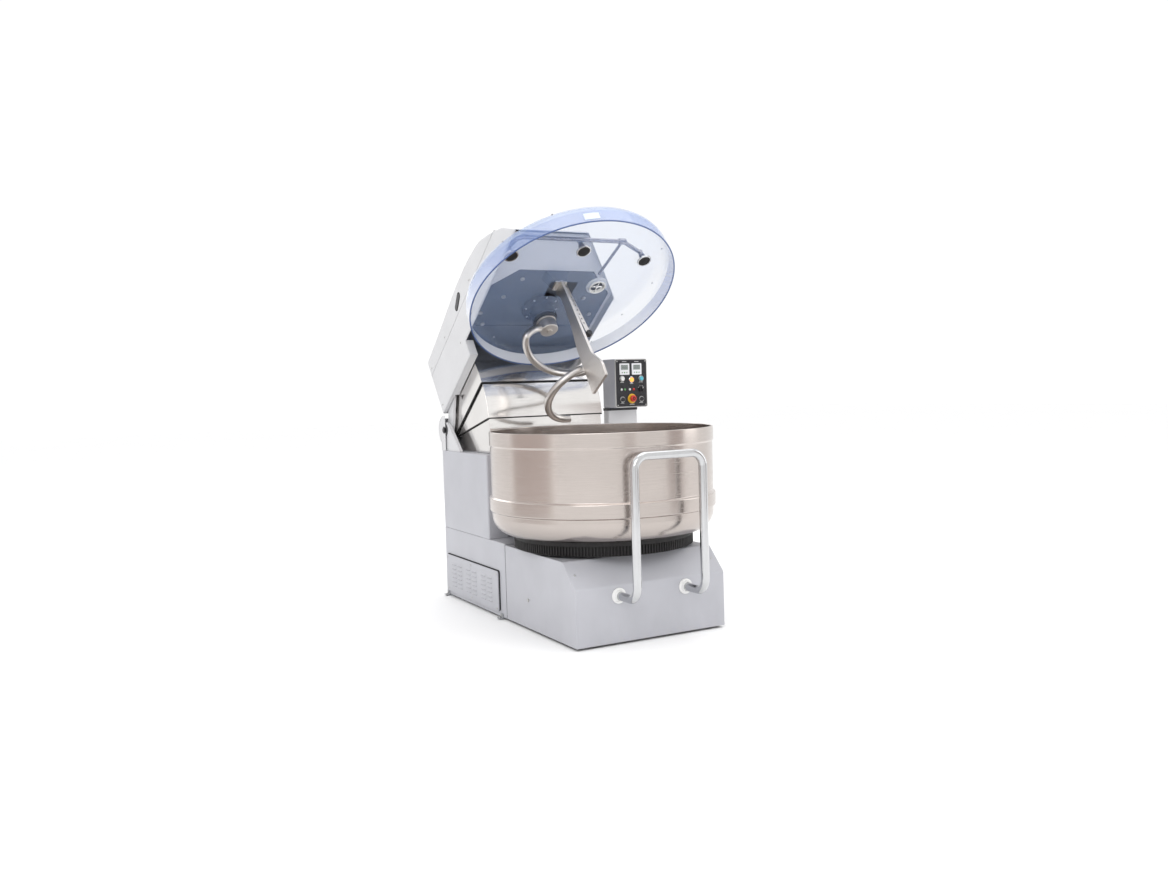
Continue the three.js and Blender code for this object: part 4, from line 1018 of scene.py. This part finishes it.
# ---------------------------------------------------------------- trolley
def trolley():
    profile = fillet([(TROLLEY_NOSE, BODY_LOW), (SEAM_Y - 5, BODY_LOW), (SEAM_Y - 5, TROLLEY_TOP, 5),
                      (-328, TROLLEY_TOP, 7), (TROLLEY_NOSE, 272, 7)], 6)
    shell = prism("trolley_cover", profile, "x", -BODY_W, BODY_W, 3, 4, "both",
                  lambda c, n: n.z < -0.9 and c.z < BODY_LOW + 2, SHEET)
    bowl_seat = lathe("t", [(120, 385), (170, 385), (170, 436), (120, 436)], sides=96, closed=True)
    castor_y, castor_top = -300, 344
    parts = [shell, bowl_seat, rod(16, (0, castor_y, 150), (0, castor_y, castor_top)),
             rod(60, (0, castor_y, 214), (0, castor_y, castor_top))]
    leg = fillet([(120, 384), (158, 46, 16), (202, 46, 16), (240, 384)], 5)
    y, z = AXLE
    for _, sign in SIDES:
        parts += [prism("t", leg, "x", *span(sign, x, x + 8), 1, 2) for x in (WHEEL_X - 31, WHEEL_X + 23)]
        parts.append(rod(10, (sign * (WHEEL_X - 30), y, z), (sign * (WHEEL_X + 32), y, z)))
    piece(merged("trolley_cover", *parts), "trolley", "body_paint", "trolley_housing")
    places = [((sign * BODY_W, 40, 150), (sign, 0, 0)) for _, sign in SIDES]
    screws("trolley_lock_screws", places, 7.5, 5, "trolley", sides=6)
    nose_slope = Vector((0, -0.71, 0.704))
    places = [((x, -384.5, 329), nose_slope) for x in (-372, 372)]
    screws("trolley_nose_screws", places, 5, 3, "trolley")
    # painted shadow: a black strip in the seam between trolley and body
    seam = prism("trolley_seam_strip", rectangle(-BODY_W + 1.5, BODY_W - 1.5, 14, TROLLEY_TOP - 2, 3), "y",
                 SEAM_Y - 5, SEAM_Y - 0.4)
    gap_shadow_strip(seam, "trolley")

    x, y, low, top, bend = 181, -605, 226, 862, 62
    route = bends([(-x, -450, low), (-x, y, low, bend), (-x, y, top, bend), (x, y, top, bend),
                   (x, y, low, bend), (x, -450, low)], 14)
    piece(tube("handle_tube", route, 20, 40), "trolley", "chromed_tube", "push_handle")
    cup = fillet([(20.4, 8.4), (20.4, 22, 1), (26, 22, 2), (28.5, 8, 2), (36, 7, 2), (36, 0.4, 1),
                  (20.4, 0.4)], 4)
    for side, sign in SIDES:
        bush = lathe("handle_socket_" + side, cup, (sign * x, TROLLEY_NOSE, low), (0, -1, 0), 56, True)
        piece(bush, "trolley", "white_plastic", "handle_bushing_" + side)


def wheels():
    across = (1, 0, 0)
    tyre = fillet([(46, -16), (64, -19, 4), (70, -13, 6), (70, 13, 6), (64, 19, 4), (46, 16)], 5)
    hub = fillet([(10.6, -19), (24, -19, 2), (24, -8, 3), (42, -6, 3), (46.5, -15, 1), (46.5, 15, 1),
                  (42, 6, 3), (24, 8, 3), (24, 19, 2), (10.6, 19)], 3)
    for side, sign in SIDES:
        middle = (sign * WHEEL_X, *AXLE)
        piece(lathe("tyre_" + side, tyre, middle, across, 64, True), "wheel_" + side, "wheel_rubber",
              "trolley_wheel_" + side)
        piece(lathe("hub_" + side, hub, middle, across, 48, True), "wheel_" + side, "white_plastic")
    soft_piece("castor_fork", "castor_yoke", "castor", "frame_steel", 1.2)
    tyre = fillet([(10, -19), (22, -19, 1), (28, -13, 3), (44, -13, 3), (52, -19, 3), (58, -14, 5),
                   (58, 14, 5), (52, 19, 3), (44, 13, 3), (28, 13, 3), (22, 19, 1), (10, 19)], 4)
    piece(lathe("castor_tyre", tyre, (0, -266, 58), across, 56, True), "castor_wheel", "wheel_rubber",
          "castor_wheel")


# ---------------------------------------------------------------- bowl and its drive
def bowl():
    outside = [(0, 438), (165, 438, 2), (165, 463), *arc(449, 559, 96, -90, 0, 24), (545, 577, 2),
               (556, 585, 3), (556, 645, 3), (545, 653, 2), (545, 893, 2), (550, 899, 2), (550, 965, 3.5),
               (540, 965, 3.5)]
    inside = [(540, 850), *arc(449, 559, 91, 0, -90, 24), (0, 468)]
    shell = lathe("bowl_vessel", fillet([*outside, *inside], 4, False), sides=224)
    piece(shell, "bowl", "bowl_steel", "bowl", smooth=40)


def toothed(count, root, tip, y=0):
    """The outline of a gear: four points to a tooth."""
    points = []
    for i in range(count):
        for share, radius in ((0.02, root), (0.22, tip), (0.58, tip), (0.78, root)):
            angle = 2 * math.pi * (i + share) / count
            points.append(Vector((radius * math.cos(angle), y + radius * math.sin(angle))))
    return points


def bowl_ring():
    teeth, inner, top = 180, 400, 462.4
    lower = fillet([(inner, 397), (439, 397, 1), (439, 399.4), (inner, 399.4)], 2)
    upper = fillet([(inner, 442.6), (442, 442.6, 1.5), (442, top, 1.5), (inner, top)], 3)
    parts = [band("t", toothed(teeth, 434.5, 441.5), circle(inner, 4 * teeth), "z", 399, 443),
             lathe("t", lower, sides=teeth, closed=True), lathe("t", upper, sides=teeth, closed=True)]
    parts += [block(*span(sign, 168, 405), -20, 20, 440, top, edge=1) for _, sign in SIDES]
    piece(merged("bowl_drive_ring", *parts), "bowl", "ring_black", "bowl_ring_gear")
    teeth = 22
    rim = toothed(teeth, 48.5, 54.5, PINION_Y)
    pinion = [band("t", rim, circle(14.5, 4 * teeth, 0, PINION_Y), "z", 404, 450),
              rod(14.4, (0, PINION_Y, 360.4), (0, PINION_Y, 452))]
    piece(merged("drive_pinion_teeth", *pinion), "pinion", "cast_iron", "bowl_drive_pinion")
    soft_piece("bowl_drive_motor", "gear_motor_housing", "base", "cast_iron", 2)


# ---------------------------------------------------------------- head
HOOD = [(1035, 1033), (1038, 1402, 22), (756, 1414, 90), (435, 1438, 90), (229, 1433, 70), (32, 1401, 60),
        (-117, 1316, 40), (-215, 1252, 30), (-326, 1130), (505, 1130), (505, 1033)]
SLANT_START, SLANT_END = Vector((0, -326)), Vector((BODY_W, 205))  # the hood's right front, in plan
SLANT = (SLANT_END - SLANT_START).normalized()
SLANT_INWARD = Vector((-SLANT.y, SLANT.x))
RIGHT_LOW = 1180  # the right wall's lower edge, ahead of its cheek by the hinge
RIGHT_CHEEK = 600
TRAY = [(-215, 45), (215, 45), (380, 212), (380, 1000), (-380, 1000), (-380, 212)]


def clipped(points, level, above):
    """The part of an outline above or below a level."""
    keep = (lambda p: p[1] >= level) if above else (lambda p: p[1] <= level)
    out = []
    for a, b in zip(points, points[1:] + points[:1]):
        if keep(a):
            out.append(Vector(a))
        if keep(a) != keep(b):
            t = (level - a[1]) / (b[1] - a[1])
            out.append(Vector((a[0] + (b[0] - a[0]) * t, level)))
    return out


def sliced(name, solid, level, above, is_open=None):
    """The sheet skin of a solid over or under a level, without its open faces."""
    bm = bmesh.new()
    bm.from_mesh(solid.data)
    bmesh.ops.bisect_plane(bm, geom=[*bm.verts, *bm.edges, *bm.faces], plane_co=(0, 0, level),
                           plane_no=(0, 0, 1), clear_inner=above, clear_outer=not above)
    drop_faces(bm, is_open)
    return thickened(made(name, bm, orient=False), SHEET, False)


def front_corner(back, low, high):
    """What lies in front of the hood's slanted right front, moved back into the hood by a distance."""
    near, far = (SLANT_START + SLANT * run + SLANT_INWARD * back for run in (-60, 730))
    return prism("t", [near, Vector((far.x, near.y)), far], "z", low, high)


def slanted(solid):
    """Cuts the right front off a solid and rounds the new edges."""
    bm = bmesh.new()
    bm.from_mesh(solid.data)
    cut = bmesh.ops.bisect_plane(bm, geom=[*bm.verts, *bm.edges, *bm.faces], plane_co=(*SLANT_START, 0),
                                 plane_no=(SLANT.y, -SLANT.x, 0), clear_outer=True)
    edges = [e for e in cut["geom_cut"] if isinstance(e, bmesh.types.BMEdge)]
    bmesh.ops.contextual_create(bm, geom=edges)
    bmesh.ops.bevel(bm, geom=edges, offset=7, segments=4, profile=0.5, affect="EDGES", clamp_overlap=False)
    bm.to_mesh(solid.data)
    bm.free()
    return solid


def hood():
    outline = fillet(HOOD, 14)
    solid = slanted(prism("t", outline, "x", -BODY_W, BODY_W, 9, 5))
    top = sliced("hood_top", solid, SEAM_Z + 1.5, True)
    piece(top, "head", "head_paint", "head_top_cover", smooth=26)
    hood_sides(solid)

    # painted shadow: a black strip in the seam between the hood's top and its sides
    seam = clipped(clipped(outline, SEAM_Z + 4, False), SEAM_Z - 4, True)
    strip = prism("hood_seam_strip", seam, "x", -BODY_W + 3, BODY_W - 3,
                  is_open=lambda c, n: abs(n.z) > 0.9, wall=2)
    gap_shadow_strip(carve(strip, front_corner(3, 1200, 1400)), "head")
    # painted shadow: a black strip along the seam at the hood's slanted corner
    near, far = SLANT_START + SLANT * 225, SLANT_END - SLANT * 6
    line = [near + SLANT_INWARD * 5, near + SLANT_INWARD * 3, far + SLANT_INWARD * 3, far + SLANT_INWARD * 5]
    strip = prism("hood_corner_strip", line, "z", SEAM_Z - 4, SEAM_Z + 4)
    gap_shadow_strip(strip, "head")

    lean = Matrix.Rotation(math.radians(-24), 2)
    for side, sign in SIDES:
        for name, length, width, look, depth in (("hood_slot_rim_", 54, 21, DARK, 1.6),
                                                 ("hood_slot_", 48, 15, BLACK_BOLT, 2.4)):
            oval = []
            for a in (2 * math.pi * (i + 0.5) / 40 for i in range(40)):
                end = math.copysign(length - width, math.cos(a))
                point = Vector((end + width * math.cos(a), width * math.sin(a)))
                oval.append(Vector((446, 1352)) + lean @ point)
            plate = prism(name + side, oval, "x", *span(sign, BODY_W - 0.5, BODY_W + depth), 0.6, 2)
            piece(plate, "head", "belt_rubber", look=look)
    places = [((sign * BODY_W, y, z), (sign, 0, 0)) for _, sign in SIDES
              for y, z in ((1000, 1330), (720, 1330), (1000, 1070), (560, 1160), (250, 1330))]
    screws("hood_screws", places, 5, 3, "head")


def hood_sides(solid):
    """The hood's walls under the seam, with the floor over the lid painted paler than the walls as painted
    light in its shade, and the rear flanges.
    """
    def is_open(c, n):  # the underside, and the step down behind the lid
        return (n.z < -0.9 and c.z < 1140) or (n.y < -0.9 and 495 < c.y < 515 and c.z < 1135)

    walls = sliced("hood_sides", solid, SEAM_Z - 1.5, False, is_open)
    bpy.data.objects.remove(solid)
    walls = carve(walls, front_corner(5, 1000, RIGHT_LOW), block(385, 412, 150, RIGHT_CHEEK, 1000, RIGHT_LOW))
    around_tray = (FRAME_Z - 10, FRAME_Z + 20)
    floor = block(-BODY_W + 4, BODY_W - 4, -222, 1031, FRAME_Z + 1, FRAME_Z + 5)
    grown = [(x + math.copysign(2.4, x), y + (2.4 if y > 500 else -2.4)) for x, y in TRAY]
    parts = [walls, carve(floor, prism("t", grown, "z", *around_tray), front_corner(2, *around_tray))]
    for _, sign in SIDES:
        front, top = (RIGHT_CHEEK, RIGHT_LOW) if sign > 0 else (505, 1134)
        plan = [(356, front), (401, front), (401, 1031), (380, 1031), (380, 860), (356, 860)]
        parts.append(prism("t", [(sign * x, y) for x, y in plan[::sign]], "z", 1033, 1037, 1, 2))
        parts.append(block(*span(sign, 356, 401), front, front + SHEET, 1034, top, edge=1))
    walls = piece(merged("hood_sides", *parts), "head", "head_paint", "head_side_shell", smooth=26)
    # painted light on the floor's faces over the lid
    second_look(walls, "head", FLOOR_PAINTED_LIGHT,
                lambda c: FRAME_Z - 1 < c.z < FRAME_Z + 6 and abs(c.x) < 396 and c.y < 1020)


def head_inside():
    tray = soft_piece("head_frame", "head_tray", "head", "cast_iron", 2)
    second_look(tray, "head", MATS["head_paint"], lambda c: abs(c.x) > 358 and c.z < FRAME_Z - 2)
    chassis = soft_piece("chassis_frame", "machine_frame", "base", "frame_steel", 1.5)
    second_look(chassis, "base", MATS["head_paint"], lambda c: c.z > COLUMN_TOP)
    for node, name, body, slot, width in (
            ("spiral_motor", "spiral_motor_housing", "head", "cast_iron", 1.2),
            ("motor_pulley", "motor_pulley_wheel", "motor_pulley", "cast_iron", 0.8),
            ("spiral_pulley", "spiral_pulley_wheel", "spiral", "cast_iron", 0.8),
            ("drive_belt", "belt_loop", "head", "belt_rubber", 0.8),
            ("lift_cylinder_barrel", "lift_barrel", "ram_barrel", "frame_steel", 1.5),
            ("lift_cylinder_rod", "lift_rod", "ram_rod", "chromed_tube", 1.2)):
        soft_piece(node, name, body, slot, width)
    sleeve = fillet([(62.4, 1127), (70, 1127, 2), (70, 1190, 4), (104, 1198, 3), (104, 1217, 2),
                     (62.4, 1217)], 4)
    sleeve = lathe("spindle_housing_cover", sleeve, SPIRAL, sides=72, closed=True)
    piece(sleeve, "head", "black_plastic")
    screws("spindle_housing_bolts", ring_of(8, 90, 0, SPIRAL_Y, 1197.4, (0, 0, -1)), 6, 6, "head", 6)
    places = [((x, y, FRAME_Z), (0, 0, -1)) for x, y in ((-290, 470), (290, 470), (-240, 250), (240, 250),
                                                         (-180, 110), (330, 380), (-330, 380))]
    screws("head_tray_bolts", places, 13, 8, "head", slot="white_plastic")
    rib = prism("head_tray_rib", rectangle(-378, 378, 480, 486), "z", FRAME_Z - 6, FRAME_Z + 0.5, 1, 2)
    piece(rib, "head", "cast_iron")


def spiral():
    shaft = fillet([(0, 1096), (54, 1096, 3), (54, 1108, 2), (38, 1108, 1), (38, 1288, 3), (0, 1288)],
                   4, False)
    piece(lathe("spindle", shaft, SPIRAL), "spiral", "tool_steel", "spiral_shaft")
    turns, top, bottom, radius, steps = 1.27, 1002, 565, 148, 26
    path = [(-10, SPIRAL_Y, 1064), (-80, SPIRAL_Y, 1052)]
    for t in (i / steps for i in range(steps + 1)):
        a = math.pi - 2 * math.pi * turns * t
        drop = math.sin(t * math.pi / 2) ** 1.15
        path.append((radius * math.cos(a), SPIRAL_Y + radius * math.sin(a), top + (bottom - top) * drop))
    hook = tube("t", through(path, 10), 19, 32)
    hub = fillet([(0, 1040), (50, 1040, 6), (50, 1095.4, 2), (0, 1095.4)], 5, False)
    hub = lathe("t", hub, SPIRAL, sides=56)
    bolt = bolts("t", [((0, SPIRAL_Y, 1040), (0, 0, -1))], 17, 9, 6)
    piece(merged("spiral_tool", hook, hub, bolt), "spiral", "tool_steel", "spiral_hook", smooth=40)


def breaker_and_probe():
    side = [(40, 1149.6), (118, 1149.6), (118, 1110, 20), (96, 1080, 20), (104, 900, 60), (134, 760, 50),
            (142, 600, 30), (148, 488, 8), (-16, 484, 10), (-24, 560, 20), (26, 650, 30), (30, 800, 40),
            (34, 1080, 30), (40, 1110, 10)]
    blade = prism("t", fillet(side, 8), "x", -8, 8, 2.5, 3)
    flange = block(-34, 34, 46, 110, 1140, 1149.6, 6, 1.5)
    piece(merged("breaker_bar", blade, flange), "head", "tool_steel", "breaker_blade")

    top, tip = Vector((56, FRAME_Z - 0.4)), Vector((86, 850))
    arm = fillet([(44, top.y), (74, tip.y + 4, 6), (98, tip.y + 4, 6), (68, top.y)], 4)
    holes = []  # the probe's arm is perforated
    for i in range(1, 8):
        share = 0.25 + i * 0.08
        x, z = top.x + (tip.x - top.x) * share, top.y + (tip.y - top.y) * share
        holes.append(rod(5, (x, 105, z), (x, 120, z), 20))
    arm = carve(prism("t", arm, "y", 110.6, 115.6, 0.8, 2), *holes)
    piece(arm, "head", "tool_steel", "dough_probe")
    knob = fillet([(0, 0), (14, 0, 1), (17, 3, 3), (17, 25, 3), (14, 28, 1), (0, 28)], 4, False)
    piece(lathe("dough_feeler", knob, (tip.x, 99, tip.y), (0, 1, 0), 40), "head", "black_plastic")
    places = [((x, y, 1140), (0, 0, -1)) for x in (-23, 23) for y in (56, 100)]
    screws("breaker_bolts", places, 6, 6, "head", 6)


# ---------------------------------------------------------------- lid and water pipes
PORT = (206, 53)
ROSES = (("left", -380, -176), ("middle", 0, -228), ("right", 380, -176))
WATER_Z = 1156


def lid():
    dome = [(0, 1124), (440, 1122), (500, 1115, 30), (536, 1097, 18), (547, 1066, 16), (547, 990)]
    under = [(542, 990), (542, 1065, 14), (532, 1093, 16), (499, 1110, 26), (440, 1117), (0, 1119)]
    shell = lathe("lid_dome", fillet([*dome, *under], 8, False), sides=192)

    def hole(radius, x, y):
        return rod(radius, (x, y, 1080), (x, y, 1140))

    tools = [hole(68, 0, SPIRAL_Y), block(-80, 80, 20, 136, 1080, 1140, 8), hole(46, *PORT),
             *[hole(12, x, y) for _, x, y in ROSES]]
    shell = piece(carve(shell, *tools), "head", "clear_lid", "bowl_lid", smooth=50)
    # the skirt's faces get the material with the painted reflection
    second_look(shell, "head", LID_SKIRT, lambda c: c.z < 1060)
    rim = fillet([(541.2, 988.4), (547.8, 988.4, 0.6), (547.8, 992.6, 0.6), (541.2, 992.6)], 2)
    rim = lathe("lid_rim_bead", rim, sides=192, closed=True)
    piece(rim, "head", "clear_lid", look=CLEAR_EDGE)
    tab = arc(0, 0, 551, 254, 262, 10) + arc(0, 0, 547.4, 262, 254, 10)
    piece(prism("lid_grip_tab", tab, "z", 1002, 1040, 0.8, 2), "head", "white_plastic", look=TAB)
    spots = [(520 * math.cos(math.radians(d)), 520 * math.sin(math.radians(d))) for d in range(-60, 61, 30)]
    places = [((sign * x, y, 1107), (0, 0, 1)) for sign in (1, -1) for x, y in spots]
    screws("lid_screws", places, 5, 4, "head")

    x, y = PORT
    ring = fillet([(40.4, 1112), (45, 1112, 1), (45, 1124.6), (58, 1124.6, 1), (58, 1134, 3),
                   (40.4, 1134, 2)], 4)
    ring = lathe("port_collar", ring, (x, y, 0), closed=True)
    piece(ring, "head", "white_plastic", "lid_port_ring")
    screws("port_screws", ring_of(6, 51, x, y, 1134, (0, 0, 1)), 3.4, 2.4, "head")
    spokes = [block(x - 40, x + 40, y - 2.5, y + 2.5, 1119, 1123),
              block(x - 2.5, x + 2.5, y - 40, y + 40, 1119, 1123), rod(9, (x, y, 1117), (x, y, 1125))]
    piece(merged("port_guard", *spokes), "head", "chromed_tube")


def water():
    z, rail_y = WATER_Z, -250
    left, middle, right = (spot[1:] for spot in ROSES)
    route = bends([(*left, z), (left[0] + 34, rail_y, z, 30), (235, rail_y, z)], 10)
    parts = [tube("t", route, 11, 28, True), rod(16, (215, rail_y, z), (255, rail_y, z), 32, 2),
             tube("t", [(240, rail_y, z), (*right, z)], 11, 28, True),
             tube("t", [(235, rail_y, z), (PORT[0], PORT[1] - 64, z)], 8, 24, True),
             tube("t", [(0, rail_y, z), (*middle, z)], 9, 24, True)]
    for _, x, y in ROSES:
        parts += [rod(9, (x, y, 1117.8), (x, y, z), 28, 0.5), rod(13, (x, y, z - 13), (x, y, z + 12), 32, 2),
                  bolts("t", [((x, y, z - 22), (0, 0, 1))], 12, 9, 6)]
    piece(merged("water_pipes", *parts), "head", "chromed_tube", "spray_manifold", look=PIPE,
          smooth=35)
    body = fillet([(0, 1094.6), (33, 1094.6), (34, 1094, 0.5), (38, 1094.6, 1), (38, 1103, 2), (13, 1108, 4),
                   (10.5, 1117.6, 1), (0, 1117.6)], 4, False)
    face_z, down = 1095.4, (0, 0, -1)
    for name, x, y in ROSES:
        piece(lathe("rose_" + name, body, (x, y, 0), sides=48), "head", "chromed_tube", "spray_rose_" + name)
        bm = bmesh.new()
        spun(bm, [(0, 0), (32, 0), (32, 0.8), (31, 1.4), (0, 1.6)], (x, y, face_z), down, 40)
        for count, radius in ((6, 8), (12, 17), (18, 26)):
            for nozzle, _ in ring_of(count, radius, x, y, face_z, down):
                spun(bm, [(1.7, 1), (1.5, 2.6), (0.6, 3.0), (0, 3.0)], nozzle, down, 8)
        piece(made("rose_face_" + name, bm), "head", "ring_black")


for build in (camera, studio, lower_body, column, vents, rear_panels, feet, hinge_parts, drums, panel,
              trolley, wheels, bowl, bowl_ring, hood, head_inside, spiral, breaker_and_probe, lid, water):
    build()
